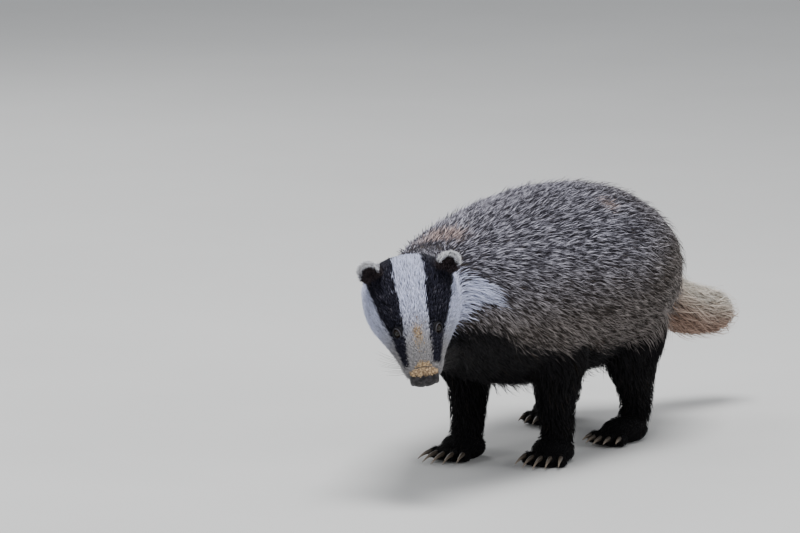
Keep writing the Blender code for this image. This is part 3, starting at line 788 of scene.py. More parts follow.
@dataclass
class BadgerForm:
    """The named sizes of the whole body, in the place where the frame stands."""

    coat_depth: float = 0.009
    face_depth: float = 0.0026
    leg_depth: float = 0.0036
    paw_depth: float = 0.0014
    head_length: float = 0.15
    head_yaw: float = math.radians(33)
    head_pitch: float = math.radians(52)
    head_roll: float = math.radians(7)
    nose_tip: Triple = (0.06, -0.368, 0.148)
    eye_radius: float = 0.0056
    eye_sink: float = 0.0012
    muzzle_reach: float = 0.0028
    eye_place: Triple = (0.0221, -0.099, 0.0208)
    ear_place: Triple = (0.0445, -0.03, 0.042)
    ear_halves: Triple = (0.015, 0.0088, 0.0185)
    ear_depth: float = 0.0021
    cup_halves: Pair = (0.0105, 0.013)
    cup_height: float = 0.003
    cup_depth: float = 0.0104
    pad_half_height: float = 0.0175
    pad_centre: Triple = (0.0, 0.004, 0.0134)
    toe_halves: Triple = (0.0068, 0.0125, 0.0085)
    toe_rise: float = 0.0006

    def __post_init__(self) -> None:
        """Finds where the frame stands and lays out the lofts there."""
        self.shift = eye_middle() - self.head_design() @ self.eye_frame(1).translation
        self.shift.z = 0.0
        self.offset = Matrix.Translation(self.shift)
        self.head = self.offset @ self.head_design()
        self.limbs = [
            foreleg("fore_left", 1, 0.06, -0.056, 8),
            foreleg("fore_right", -1, 0.046, -0.084, -4),
            hindleg("hind_left", 1, 0.072, 0.102, -6),
            hindleg("hind_right", -1, 0.066, 0.184, 6),
        ]
        self.trunk = Loft(TRUNK, 2.1, (0.1, 0.05), self.coat_depth)
        self.tail = Loft(TAIL, 2.0, (0.12, 0.0), self.coat_depth * 0.8)
        self.skull = Loft(HEAD, 2.15, (0.16, 0.035), self.face_depth)
        self.jaw = Loft(JAW, 2.2, (0.2, 0.14), self.face_depth * 0.6)
        self.legs = [Loft(limb.sections, 2.1, (0.22, 0.0), self.leg_depth) for limb in self.limbs]

    def head_design(self) -> Matrix:
        """From the head's own frame to the body's: nose down, turned to the left and tilted.

        Returns:
            The head's frame.
        """
        turn = (
            Matrix.Rotation(self.head_yaw, 4, "Z")
            @ Matrix.Rotation(-self.head_roll, 4, "Y")
            @ Matrix.Rotation(self.head_pitch, 4, "X")
        )
        centre = Vector(self.nose_tip) - turn @ Vector((0, -self.head_length, 0))
        return Matrix.Translation(centre) @ turn

    def eye_frame(self, hand: int) -> Matrix:
        """The eye's frame in the head: +Z looks out of the head and +X runs along the slit.

        Args:
            hand: +1 for the left side, -1 for the right.

        Returns:
            The frame.
        """
        look = on_side((0.62, -0.52, 0.58), hand).normalized()
        slit = on_side((0.3, 0.86, 0.3), hand)
        slit = (slit - slit.dot(look) * look).normalized()
        return axes_at(on_side(self.eye_place, hand), slit, look.cross(slit), look)

    def sunk_eye(self, hand: int) -> Matrix:
        """The frame of the eye in the body's frame, drawn a little into the head."""
        return self.head @ self.eye_frame(hand) @ Matrix.Translation((0, 0, -self.eye_sink))

    def ear_frame(self, hand: int) -> Matrix:
        """The ear's frame in the head: +Z is its tip and +Y its back.

        Args:
            hand: +1 for the left side, -1 for the right.

        Returns:
            The frame.
        """
        tip = on_side((0.42, 0.28, 0.88), hand).normalized()
        back = on_side((0.1, 0.96, 0.0), hand)
        back = (back - back.dot(tip) * tip).normalized()
        return axes_at(on_side(self.ear_place, hand), back.cross(tip), back, tip)

    def ear_at(self, hand: int) -> Matrix:
        """The ear's frame in the body's frame."""
        return self.head @ self.ear_frame(hand)

    def in_head(self, points: Array) -> Array:
        """Points in the head's own coordinates."""
        return in_frame(points, self.head)

    def design(self, points: Array) -> Array:
        """Points in the coordinates in which the sizes above are given."""
        return points - np.array(self.shift)

    def nearest_leg(self, design: Array) -> tuple[Array, Array]:
        """The leg nearest to each point.

        Args:
            design: the points, as the method design gives them.

        Returns:
            The leg's number and the point's angle round it.
        """
        found = [leg.where(design) for leg in self.legs]
        nearest = np.stack([share for share, _, _ in found]).argmin(axis=0)
        return nearest, np.stack([angle for _, _, angle in found])[nearest, np.arange(len(design))]

    def shells(self) -> list[Shape]:
        """The closed forms that the skin is drawn over.

        Returns:
            Their points and faces, where the frame stands.
        """
        made = [
            moved(self.trunk.shell(60, 72), self.offset),
            moved(self.tail.shell(30, 40), self.offset),
            moved(self.skull.shell(60, 72), self.head),
            moved(self.jaw.shell(30, 40), self.head),
        ]
        for limb, leg in zip(self.limbs, self.legs):
            made.append(moved(leg.shell(40, 40), self.offset))
            pad = np.array([limb.half_width, limb.half_length, self.pad_half_height])
            pad -= self.paw_depth
            centre = Matrix.Translation(self.pad_centre)
            made.append(moved(ellipsoid(pad, 20, 32), self.offset @ limb.stance @ centre))
            toe = np.array(self.toe_halves) - self.paw_depth * 0.6
            for _, frame_of_toe in limb.toes():
                lifted = Matrix.Translation((0, 0, self.toe_rise))
                made.append(moved(ellipsoid(toe, 10, 16), self.offset @ frame_of_toe @ lifted))
        for hand, _ in SIDES:
            made.append(moved(self.ear_shell(), self.ear_at(hand)))
        return made

    def ear_shell(self) -> Shape:
        """A cupped ear: a ball whose front is pressed in, y += depth * (1 - x^2 - z^2).

        Returns:
            The points and faces, in the ear's frame.
        """
        inset = self.ear_depth * np.array([1.5, 1.0, 1.0])
        points, faces = ellipsoid(np.array(self.ear_halves) - inset, 40, 56)
        across, up = self.cup_halves
        rim = 1 - (points[:, 0] / across) ** 2 - ((points[:, 2] - self.cup_height) / up) ** 2
        front = points[:, 1] < 0
        points[:, 1] += np.where(front, self.cup_depth * np.sqrt(np.clip(rim, 0, 1)), 0.0)
        return points, faces


# The markings

class Region(IntEnum):
    """The parts of the coat that are made each in its own way; the number is its column."""

    BODY = 0
    HEAD = 1
    EAR = 2
    LEG = 3
    PAW = 4
    TAIL = 5


class Markings:
    """Where the coat is white, black, buff, rusty or soiled, from the form's own places."""

    STRIPE_ALONG = (
        -0.139, -0.122, -0.11, -0.095, -0.075, -0.05, -0.03, -0.012, 0.004, 0.02, 0.034
    )
    STRIPE_INNER = (
        0.014, 0.0142, 0.0142, 0.0148, 0.015, 0.0172, 0.0176, 0.0168, 0.0135, 0.008, 0.0015
    )
    STRIPE_OUTER = (19.0, 22.0, 28.0, 29.5, 30.0, 29.0, 24.0, 18.0, 11.0, 6.0, 3.0)
    MIDLINE = -0.0015
    PATCH_ALONG = (-0.3, -0.277, -0.266, -0.254, -0.249, -0.219, -0.205)
    PATCH_LOW = (0.2, 0.207, 0.216, 0.217, 0.218, 0.215, 0.213)
    PATCH_HIGH = (0.268, 0.266, 0.26, 0.247, 0.243, 0.221, 0.213)
    PATCH_HEIGHT, PATCH_BESIDE = (0.215, 0.235, 0.262), (0.038, 0.046, 0.062)
    NECK_ALONG, NECK_SIDE = (-0.308, -0.236, -0.16), (0.015, 0.011, 0.003)
    RUST_SPOTS = (
        (0.95, (-0.004, -0.216, 0.29), (0.036, 0.026, 0.024)),
        (0.8, (0.0685, 0.068, 0.2906), (0.012, 0.018, 0.012)),
    )
    SOIL_SPOTS = (
        (1.0, (0.001, -0.1485, 0.015), (0.014, 0.005, 0.009)),
        (0.7, (-0.0005, -0.106, 0.029), (0.006, 0.013, 0.01)),
    )
    DARK_ALONG = (-0.27, -0.247, -0.213, -0.176, -0.13, -0.021, 0.1, 0.25)
    DARK_HEIGHT = (0.19, 0.1865, 0.176, 0.16, 0.145, 0.128, 0.122, 0.12)

    def __init__(self, form: BadgerForm) -> None:
        """Keeps the form that the markings lie on."""
        self.form = form

    def at(self, points: Array, normals: Array, regions: Array) -> dict[str, Array]:
        """The share of each marking at each point.

        Args:
            points: the points on the skin.
            normals: the directions in which the skin faces there.
            regions: the share of each Region, one to a column.

        Returns:
            A number from 0 to 1 for each point under the names white, black, buff, rust, soil,
            fawn, pale, brown, umber and frost.
        """
        form = self.form
        head, design = form.in_head(points), form.design(points)
        body, face, ear, leg, paw, tail = regions.T
        x = np.abs(head[:, 0] - self.MIDLINE)
        y, z = head[:, 1], head[:, 2]
        side, along, height = design.T
        inner = np.interp(y, self.STRIPE_ALONG, self.STRIPE_INNER)
        outer = np.interp(y, self.STRIPE_ALONG, self.STRIPE_OUTER)
        stripe = ease(-0.0012, 0.0012, x - inner)
        stripe *= ease(-2.2, 2.2, np.degrees(np.arctan2(z, x)) - outer) * ease(-0.1405, -0.1365, y)
        beside = np.abs(side - np.interp(along, self.NECK_ALONG, self.NECK_SIDE))
        patch = (
            ease(-0.005, 0.005, height - np.interp(along, self.PATCH_ALONG, self.PATCH_LOW))
            * ease(-0.01, 0.008, np.interp(along, self.PATCH_ALONG, self.PATCH_HIGH) - height)
            * ease(-0.006, 0.006, beside - np.interp(height, self.PATCH_HEIGHT, self.PATCH_BESIDE))
            * ease(-0.2, -0.236, along)
        )
        throat = ease(-0.028, -0.04, z) * ease(-0.128, -0.1, y)
        nape = ease(0.42, 0.74, np.sin(form.trunk.where(design)[2])) * ease(-0.018, 0.002, y)
        streak = ease(0.012, 0.006, x) * ease(0.036, 0.012, y)
        cheek = (1 - np.clip(stripe + throat, 0, 1)) * (1 - nape * (1 - streak))
        rim = ear * np.maximum(*(self.ear_rim(points, normals, hand) for hand, _ in SIDES))
        white = np.clip(face * cheek + (1 - face - ear) * patch + rim, 0, 1)
        over = height - np.interp(along, self.DARK_ALONG, self.DARK_HEIGHT)
        dark = face * (stripe + throat) + body * ease(0.01, -0.01, over) + (leg + paw)
        rust = sum(share * bump(design, *spot) for share, *spot in self.RUST_SPOTS)
        soil = sum(share * bump(head, *spot) for share, *spot in self.SOIL_SPOTS)
        brown = ease(0.268, 0.17, height) * (1 - face) + 0.6 * ease(0.05, 0.2, along)
        under = tail * ease(0.75, -0.8, np.sin(form.tail.where(design)[2]))
        return {
            "white": white,
            "black": np.clip(np.clip(dark, 0, 1) + ear, 0, 1) * (1 - white) * (1 - tail),
            "buff": tail,
            "rust": np.clip(rust, 0, 1) * (1 - white) * (1 - face),
            "soil": np.clip(soil, 0, 1),
            "fawn": face * ease(-0.07, -0.124, y),
            "pale": ease(0.075, 0.03, over) * ease(0.004, 0.02, over) * body,
            "brown": np.clip(brown, 0, 1) * (1 - tail) + under,
            "umber": ear * (1 - white),
            "frost": rim,
        }

    def ear_rim(self, points: Array, normals: Array, hand: int) -> Array:
        """The share of white at each point of an ear: its upper edge, broad in front.

        Args:
            points: points on the skin.
            normals: how the skin faces there.
            hand: +1 for the left side, -1 for the right.

        Returns:
            A share for each point.
        """
        matrix = self.form.ear_at(hand)
        ear = in_frame(points, matrix)
        half_width, _, half_height = self.form.ear_halves
        reach = np.hypot(ear[:, 0] / half_width, ear[:, 2] / half_height)
        front = ease(0.25, -0.25, normals @ np.array(matrix)[:3, 1])
        upper = np.clip(ear[:, 2] / half_height, 0, 1)
        start = 0.88 - 0.2 * upper - front * (0.07 + 0.32 * upper)
        return ease(-0.16, 0.16, reach - start) * ease(-0.003, 0.005, ear[:, 2])


# The skin

FLESH = (
    "head", "lower_jaw", "ear_left", "ear_right", "neck", "torso", "tail",
    *(f"{end}_{side}_{part}" for end in ("fore", "hind") for side in ("left", "right")
      for part in ("leg", "paw")),
)


@dataclass
class BadgerSkin:
    """One closed skin over the forms of the flesh, fine on the head and coarser on the body."""

    form: BadgerForm
    voxel: float = 0.0015
    face_limit: int = 188_000
    relax_rounds: int = 10
    face_start: float = 0.012
    face_half: float = 0.085
    paw_height: float = 0.034
    sole_height: float = 0.0004
    socket: Pair = (0.0076, 0.0058)
    paw_centre: Triple = (0.0, -0.003, 0.012)
    paw_margin: float = 0.009
    paw_half_height: float = 0.018
    tail_start: Pair = (0.272, 0.302)
    sharpness: float = 14.0

    FACE_FORMS = (
        ((0.0275, -0.101, 0.0235), 0.011, -0.0006),  # The hollow of the eye
        ((0.0205, -0.088, 0.033), 0.011, 0.0014),  # The brow
        ((0.052, -0.062, -0.008), 0.022, 0.0022),  # The cheek
        ((0.023, -0.124, 0.018), 0.011, -0.0012),  # The side of the bridge
        ((0.0175, -0.133, 0.001), 0.01, 0.0012),  # The upper lip
    )
    MOUTH_ALONG, MOUTH_HEIGHT = (-0.147, -0.12, -0.085), (-0.0078, -0.0118, -0.023)

    def build(self, finish: Material) -> Object:
        """Draws the skin over the forms, shapes the face and keeps the fields for the coat.

        Args:
            finish: its material.

        Returns:
            The skin.
        """
        rough = add_object("rough", mesh_from("rough", joined(self.form.shells())))
        remesh = rough.modifiers.new("wrap", "REMESH")
        remesh.mode = "VOXEL"
        remesh.voxel_size = self.voxel
        wrapped = applied(rough)
        points = read_points(wrapped)
        head = self.form.in_head(points)
        sideways = np.abs(head[:, [0, 2]]).max(axis=1)
        near_face = (head[:, 1] < self.face_start) & (sideways < self.face_half)
        paws = points[:, 2] < self.paw_height
        self.relax(wrapped, np.where(near_face, 0.35, np.where(paws, 0.45, 1.0)))
        rough.data = wrapped
        group = rough.vertex_groups.new(name="coarse")
        group.add(np.flatnonzero(~near_face).tolist(), 1.0, "REPLACE")
        thin = rough.modifiers.new("thin", "DECIMATE")
        thin.ratio = min(1.0, self.face_limit / (2 * len(wrapped.polygons)))
        thin.vertex_group = "coarse"
        thin.use_collapse_triangulate = True
        mesh = applied(rough)
        bpy.data.objects.remove(rough)
        self.shape_face(mesh)
        mesh.shade_smooth()
        mesh.name = "badger_skin"
        self.add_fields(mesh)
        return show(mesh, finish, "coat", *FLESH)

    def relax(self, mesh: Mesh, weight: Array) -> None:
        """Softens the joins: each vertex moves towards the mean of its neighbours.

        Args:
            mesh: the mesh that is softened.
            weight: how much, for each vertex.
        """
        points = read_points(mesh)
        a, b = fetch(mesh.edges, "vertices", 2, np.int32).T
        n = len(points)
        count = np.bincount(np.concatenate([a, b]), minlength=n)[:, None]
        for _ in range(self.relax_rounds):
            total = np.stack(
                [np.bincount(a, p[b], n) + np.bincount(b, p[a], n) for p in points.T], axis=1
            )
            points += (total / count - points) * (weight * 0.6)[:, None]
        write_points(mesh, points)

    def shape_face(self, mesh: Mesh) -> None:
        """Shapes eye hollows, brows, cheeks and lips in the head's frame; flattens the soles.

        Args:
            mesh: the skin's mesh.
        """
        head = self.form.in_head(read_points(mesh))
        normals = unit(head - np.array([0.0, -0.06, -0.004]))
        push = np.zeros(len(head))
        for hand, _ in SIDES:
            for place, radius, lift in self.FACE_FORMS:
                push += lift * bump(head, np.array(place) * [hand, 1, 1], radius)
        line = np.interp(head[:, 1], self.MOUTH_ALONG, self.MOUTH_HEIGHT)
        mouth, lips = bell(head[:, 2], line, 0.0013), bell(head[:, 2], line, 0.004)
        reach = ease(-0.082, -0.092, head[:, 1]) * ease(0.0, 0.004, np.abs(head[:, 0]))
        push += reach * (0.0009 * lips - 0.0022 * mouth)
        head = head + push[:, None] * normals
        head[:, 1] -= self.form.muzzle_reach * ease(-0.104, -0.14, head[:, 1])
        points = placed(head, self.form.head)
        for hand, _ in SIDES:
            place = self.form.sunk_eye(hand)
            eye = in_frame(points, place)
            near = ease(*self.socket, np.hypot(eye[:, 0], eye[:, 1])) * (eye[:, 2] > -0.004)
            eye[:, 2] += near * (np.minimum(eye[:, 2], 0.0004) - eye[:, 2])
            points = np.where(near[:, None] > 0, placed(eye, place), points)
        points[:, 2] = np.maximum(points[:, 2], self.sole_height)
        write_points(mesh, points)

    def regions(self, points: Array) -> Array:
        """Each Region's share at each point, in its order, from how deep it lies in each form.

        Args:
            points: the points.

        Returns:
            The shares, a column for each Region; they add up to 1.
        """
        form = self.form
        design, head = form.design(points), form.in_head(points)
        ears = [
            np.linalg.norm(in_frame(points, form.ear_at(hand)) / np.array(form.ear_halves), axis=1)
            for hand, _ in SIDES
        ]
        pads = [
            np.linalg.norm(
                in_frame(design, limb.stance @ Matrix.Translation(self.paw_centre))
                / (limb.half_width, limb.half_length + self.paw_margin, self.paw_half_height),
                axis=1,
            )
            for limb in form.limbs
        ]
        depth = np.stack(
            [
                form.trunk.where(design)[0],
                np.minimum(form.skull.where(head)[0], form.jaw.where(head)[0]),
                np.minimum(*ears) + 0.05,
                np.minimum.reduce([leg.where(design)[0] for leg in form.legs]),
                np.minimum.reduce(pads) - 0.05,
                form.tail.where(design)[0] - 4.0 * ease(*self.tail_start, design[:, 1]),
            ],
            axis=1,
        )
        share = np.exp(-self.sharpness * (depth - depth.min(axis=1, keepdims=True)))
        return share / share.sum(axis=1, keepdims=True)

    def lie(self, points: Array, regions: Array) -> Array:
        """The direction in which the coat would lie at each point, mixed by the Regions' shares.

        Args:
            points: the points.
            regions: the Regions' shares there.

        Returns:
            A direction for each point.
        """
        form = self.form
        design, head = form.design(points), form.in_head(points)
        _, place, angle = form.trunk.where(design)
        sag = np.abs(np.cos(angle)) * 0.34 + 0.95 * ease(0.24, 0.05, place)
        body = -form.trunk.lie(design) - sag[:, None] * UP
        fan = np.stack([head[:, 0] * 6, np.ones(len(head)), head[:, 2] * 3], -1)
        face = fan @ np.array(form.head)[:3, :3].T
        ears, legs, paws = np.zeros((3, len(points), 3))
        for hand, _ in SIDES:
            matrix = form.ear_at(hand)
            local = in_frame(points, matrix)
            outward = np.stack([local[:, 0] * 20, local[:, 1] * 5, 0.6 + local[:, 2] * 20], -1)
            near = head[:, 0] * hand > 0
            ears[near] = (outward @ np.array(matrix)[:3, :3].T)[near]
        nearest, _ = form.nearest_leg(design)
        for number, (leg, limb) in enumerate(zip(form.legs, form.limbs)):
            mine = nearest == number
            if mine.any():
                legs[mine] = leg.lie(design[mine]) + 0.3 * BACKWARD
                paws[mine] = -np.array(limb.stance)[:3, 1] - 0.35 * UP
        lies = np.stack([body, face, ears, legs, paws, -form.tail.lie(design)])
        return unit((unit(lies) * regions.T[..., None]).sum(axis=0))

    def add_fields(self, mesh: Mesh) -> None:
        """Keeps at each vertex the way it faces, the lie of the coat, the regions and markings.

        Args:
            mesh: the skin's mesh.
        """
        self.points = read_points(mesh)
        self.facing = fetch(mesh.vertex_normals, "vector", 3).astype(float)
        self.shares = self.regions(self.points)
        self.lies = self.lie(self.points, self.shares)
        store(mesh, "facing", self.facing)
        store(mesh, "lie", flat_on(self.lies, self.facing))
        for name, values in Markings(self.form).at(self.points, self.facing, self.shares).items():
            store(mesh, name, values)
        mesh.calc_loop_triangles()
        self.triangles = fetch(mesh.loop_triangles, "vertices", 3, np.int32)


class SurfaceReader:
    """Reads the skin's nearest place, facing and lie for many points at once."""

    FIELDS = ("place", "facing", "lie")

    def __init__(self, skin: Object) -> None:
        """Makes the node group that looks up the skin's nearest surface.

        Args:
            skin: the object that is looked up.
        """
        group = bpy.data.node_groups.new("nearest_skin", "GeometryNodeTree")
        for way in ("INPUT", "OUTPUT"):
            group.interface.new_socket("Geometry", in_out=way, socket_type="NodeSocketGeometry")
        nodes, links = group.nodes, group.links
        source, sink = nodes.new("NodeGroupInput"), nodes.new("NodeGroupOutput")
        info = nodes.new("GeometryNodeObjectInfo")
        info.inputs["Object"].default_value = skin
        place = nodes.new("GeometryNodeInputPosition")
        chain = source.outputs[0]
        for name in self.FIELDS:
            if name == "place":
                value = nodes.new("GeometryNodeInputPosition").outputs[0]
            else:
                named = nodes.new("GeometryNodeInputNamedAttribute")
                named.data_type = "FLOAT_VECTOR"
                named.inputs["Name"].default_value = name
                value = named.outputs["Attribute"]
            sample = nodes.new("GeometryNodeSampleNearestSurface")
            sample.data_type = "FLOAT_VECTOR"
            links.new(info.outputs["Geometry"], sample.inputs["Mesh"])
            links.new(value, sample.inputs["Value"])
            links.new(place.outputs[0], sample.inputs["Sample Position"])
            kept = nodes.new("GeometryNodeStoreNamedAttribute")
            kept.data_type = "FLOAT_VECTOR"
            kept.domain = "POINT"
            kept.inputs["Name"].default_value = "hit_" + name
            links.new(chain, kept.inputs["Geometry"])
            links.new(sample.outputs["Value"], kept.inputs["Value"])
            chain = kept.outputs["Geometry"]
        links.new(chain, sink.inputs[0])
        self.group = group

    def read(self, points: Array) -> dict[str, Array]:
        """The skin next to each point.

        Args:
            points: the points, one to a row.

        Returns:
            The nearest place on the skin, the way the skin faces there and the coat's lie.
        """
        mesh = bpy.data.meshes.new("probe")
        mesh.vertices.add(len(points))
        write_points(mesh, points)
        probe = add_object("probe", mesh)
        probe.modifiers.new("look", "NODES").node_group = self.group
        result = applied(probe)
        found = {
            name: fetch(result.attributes["hit_" + name].data, "vector", 3).astype(float)
            for name in self.FIELDS
        }
        bpy.data.objects.remove(probe)
        for used in (mesh, result):
            bpy.data.meshes.remove(used)
        return found


# The coat

@dataclass(frozen=True)
class TuftStyle:
    """How the tufts of one region are made, in metres.

    Guard tufts are the share that is longer and stands further out. Blur is how far a tuft may
    take its markings from beside its own place.
    """

    count: int
    length: float
    width: float
    lift: float
    stray: float
    clump: float
    gather: float
    cling: float = 1.0
    guard: float = 0.0
    blur: float = 0.0
    short: bool = False

    @property
    def rows(self) -> Array:
        """The form of a tuft.

        Returns:
            Each ring's and the tip's place along it, width and rise, all as shares.
        """
        if self.short:
            return np.array([(0.0, 0.75, -0.15), (0.5, 0.95, 0.66), (1.0, 0.0, 1.0)])
        return np.array(
            [(0.0, 0.7, -0.1), (0.34, 1.0, 0.52), (0.7, 0.74, 0.86), (1.0, 0.0, 1.0)]
        )


STYLES = {
    Region.BODY: TuftStyle(60_000, 0.045, 0.00116, 0.009, 0.12, 0.009, 0.3, 1.0, 0.1, 0.0035),
    Region.HEAD: TuftStyle(
        26_000, 0.0086, 0.0007, 0.0025, 0.13, 0.0045, 0.2, 1.0, 0.04, 0.0011, True
    ),
    Region.EAR: TuftStyle(
        4_400, 0.007, 0.00058, 0.0022, 0.42, 0.0035, 0.1, 0.35, 0.24, 0.0012, True
    ),
    Region.LEG: TuftStyle(9_000, 0.017, 0.00098, 0.0037, 0.15, 0.008, 0.35, 1.0, 0.06, 0.003),
    Region.PAW: TuftStyle(3_400, 0.0085, 0.0008, 0.0017, 0.17, 0.005, 0.25, 0.8, 0.0, 0.0, True),
    Region.TAIL: TuftStyle(4_000, 0.048, 0.0013, 0.0085, 0.16, 0.01, 0.3, 0.35, 0.12, 0.003),
}


class Coat:
    """The tufts of the whole coat, grown from the skin along its lie.

    GUARD_SHARES are the guard tufts' length, width and lift against those of the others. The
    lengths under FACE_, BODY_, LEG_ and TAIL_ are shares of the region's own at given places.
    """

    GUARD_SHARES = (1.18, 0.72, 1.65)
    FACE_ALONG, FACE_LENGTH = (-0.149, -0.128, -0.095, -0.035, 0.01), (0.34, 0.48, 0.8, 1.25, 2.2)
    BODY_ALONG, BODY_LENGTH = (-0.34, -0.28, -0.2, -0.1, 0.3), (0.52, 0.72, 0.92, 1.0, 1.1)
    LEG_UP, LEG_LENGTH = (0.02, 0.06, 0.12, 0.16), (0.62, 0.8, 1.2, 1.9)
    TAIL_ALONG, TAIL_LENGTH = (0.0, 0.1, 0.3, 0.6, 1.0), (0.4, 0.5, 0.85, 1.0, 0.9)
    WAVE = 0.09
    FLOOR_GAP = 0.0012
    BELLY_HEIGHT = 0.125
    LEG_HEIGHT = 0.19
    HIND_START = 0.02

    def __init__(self, form: BadgerForm, skin: BadgerSkin, reader: SurfaceReader) -> None:
        """Keeps what the coat grows from.

        Args:
            form: the body's form.
            skin: the skin's fields.
            reader: what finds the skin next to a point.
        """
        self.form = form
        self.skin = skin
        self.reader = reader
        self.rng = np.random.default_rng(SEED)

    def roots(self, region: Region, count: int) -> tuple[Array, Array, Array, Array, Array]:
        """Roots spread evenly over a region.

        Args:
            region: the region that the tufts belong to.
            count: how many tufts it gets.

        Returns:
            The places, facings and lies of the roots, how far the coat's way points out of the
            skin there, and the regions' shares.
        """
        corners = self.skin.points[self.skin.triangles]
        area = np.linalg.norm(
            np.cross(corners[:, 1] - corners[:, 0], corners[:, 2] - corners[:, 0]), axis=1
        )
        share = self.skin.shares[self.skin.triangles][:, :, region].mean(axis=1)
        weight = area * share**1.5 * self.thickness(region, corners.mean(axis=1))
        total = np.cumsum(weight)
        picks = (np.arange(count) + self.rng.uniform(0, 1, count)) / count * total[-1]
        chosen = self.skin.triangles[np.searchsorted(total, picks).clip(0, len(total) - 1)]
        a, b = self.rng.uniform(0, 1, (2, count))
        a, b = np.where(a + b > 1, 1 - a, a), np.where(a + b > 1, 1 - b, b)
        parts = np.stack([1 - a - b, a, b], axis=1)[..., None]
        place = (self.skin.points[chosen] * parts).sum(axis=1)
        facing = unit((self.skin.facing[chosen] * parts).sum(axis=1))
        way = unit((self.skin.lies[chosen] * parts).sum(axis=1))
        shares = (self.skin.shares[chosen] * parts).sum(axis=1)
        return place, facing, flat_on(way, facing), np.clip(dot(way, facing), 0, 1), shares

    def thickness(self, region: Region, points: Array) -> Array:
        """How closely the tufts stand at each point, against the region's mean.

        Args:
            region: the tufts' region.
            points: the points.

        Returns:
            A share for each point.
        """
        head = self.form.in_head(points)
        if region is Region.HEAD:
            keep = 1.0 + 1.3 * ease(-0.09, -0.12, head[:, 1])
            keep *= 1 - ease(-0.148, -0.15, head[:, 1])
            for hand, _ in SIDES:
                eye = in_frame(points, self.form.sunk_eye(hand))
                keep *= ease(0.0064, 0.008, np.hypot(eye[:, 0], eye[:, 1] * 1.12))
            return keep
        if region is Region.EAR:
            keep = np.ones(len(points))
            for hand, _ in SIDES:
                ear = in_frame(points, self.form.ear_at(hand))
                hollow = np.hypot(ear[:, 0] / 0.0095, (ear[:, 2] - 0.003) / 0.012)
                keep *= 1 - 0.75 * ease(1.0, 0.8, hollow) * ease(0.003, 0.0, ear[:, 1])
            return keep
        if region is Region.PAW:
            return ease(0.0012, 0.004, points[:, 2])
        if region is Region.BODY:
            fore, low = ease(-0.12, -0.25, points[:, 1]), ease(0.15, 0.1, points[:, 2])
            return 1.0 + 0.5 * fore - 0.2 * low
        return np.ones(len(points))

    def size_at(self, region: Region, place: Array, shares: Array) -> tuple[Array, Array]:
        """The length and width of the tufts at each root.

        Each is the mean of the regions' own by their shares, and the face, the belly and the
        lower legs are shorter.

        Args:
            region: the region that the tufts belong to.
            place: their roots.
            shares: the regions' shares there.

        Returns:
            The lengths and the widths, in metres.
        """
        head = self.form.in_head(place)
        face = np.interp(head[:, 1], self.FACE_ALONG, self.FACE_LENGTH)
        face = face * (1 + 0.5 * ease(-0.02, -0.045, head[:, 2]) * ease(-0.06, -0.03, head[:, 1]))
        for hand, _ in SIDES:
            eye = in_frame(place, self.form.sunk_eye(hand))
            face = face * (1 - 0.55 * bump(eye, (0, 0, 0.003), 0.0105))
        body = np.interp(place[:, 1], self.BODY_ALONG, self.BODY_LENGTH)
        body = body * (1 - 0.25 * ease(0.14, 0.11, place[:, 2]))
        leg = np.interp(place[:, 2], self.LEG_UP, self.LEG_LENGTH)
        _, along_tail, _ = self.form.tail.where(self.form.design(place))
        tail = np.interp(along_tail, self.TAIL_ALONG, self.TAIL_LENGTH)
        factors = {Region.HEAD: face, Region.BODY: body, Region.LEG: leg, Region.TAIL: tail}
        length = sum(
            shares[:, r] * STYLES[r].length * factors.get(r, np.ones(len(place))) for r in Region
        )
        width = sum(shares[:, r] * STYLES[r].width for r in Region)
        muzzle = ease(-0.095, -0.14, head[:, 1]) if region is Region.HEAD else 0.0
        return length, width * (1 - 0.28 * muzzle)

    def clumps(self, place: Array, size: float) -> Array:
        """The number of the clump that each root belongs to, from a cell of shifted space.

        Args:
            place: the roots.
            size: the width of a cell.

        Returns:
            A number for each root.
        """
        swirl = 0.35 * size * np.sin(place[:, [1, 2, 0]] * 2.1 / size)
        cell = np.floor((place + swirl) / size).astype(np.int64)
        cell -= cell.min(axis=0)
        key = np.ravel_multi_index(tuple(cell.T), tuple(cell.max(axis=0) + 1))
        return np.unique(key, return_inverse=True)[1]

    def strands(self, region: Region, style: TuftStyle) -> dict[str, Array]:
        """The tufts' centrelines and what goes with them.

        Each step walks along the coat's lie, goes back to the skin's nearest place and is
        lifted by the style's height times its rise. Tips of a clump draw together.

        Args:
            region: the region that the tufts cover.
            style: how they are made.

        Returns:
            Arrays under the names path, facing, width, root, normal, shares, tint and clump.
        """
        place, facing, lie, stand, shares = self.roots(region, style.count)
        count = len(place)
        length, width = self.size_at(region, place, shares)
        guard = self.rng.uniform(0, 1, count) < style.guard
        length = length * self.rng.uniform(0.72, 1.16, count)
        width = width * self.rng.uniform(0.72, 1.28, count)
        group = self.clumps(place, style.clump)
        clump = self.rng.normal(0, 1, (group.max() + 1, 3))[group]
        members = np.bincount(group)[:, None]
        middle = np.stack([np.bincount(group, place[:, k]) for k in range(3)], 1) / members
        inward = middle[group] - place
        turn = self.rng.normal(0, style.stray, count) + 0.1 * clump[:, 0]
        heading = lie * np.cos(turn)[:, None] + np.cross(facing, lie) * np.sin(turn)[:, None]
        stand = stand * (1 - style.cling)
        heading = heading * np.sqrt(1 - stand**2) + facing * stand
        lift = sum(shares[:, r] * STYLES[r].lift for r in Region)
        lift = lift * self.rng.uniform(0.55, 1.12, count) * (1 + 0.08 * clump[:, 1])
        length, width, lift = (
            values * np.where(guard, share, 1)
            for values, share in zip((length, width, lift), self.GUARD_SHARES)
        )
        if region is Region.BODY:
            lift = lift * (1 + 0.8 * ease(0.135, 0.105, place[:, 2]))
        wave = self.rng.normal(0, self.WAVE, count)[:, None]
        shares_along, _, rises = style.rows.T
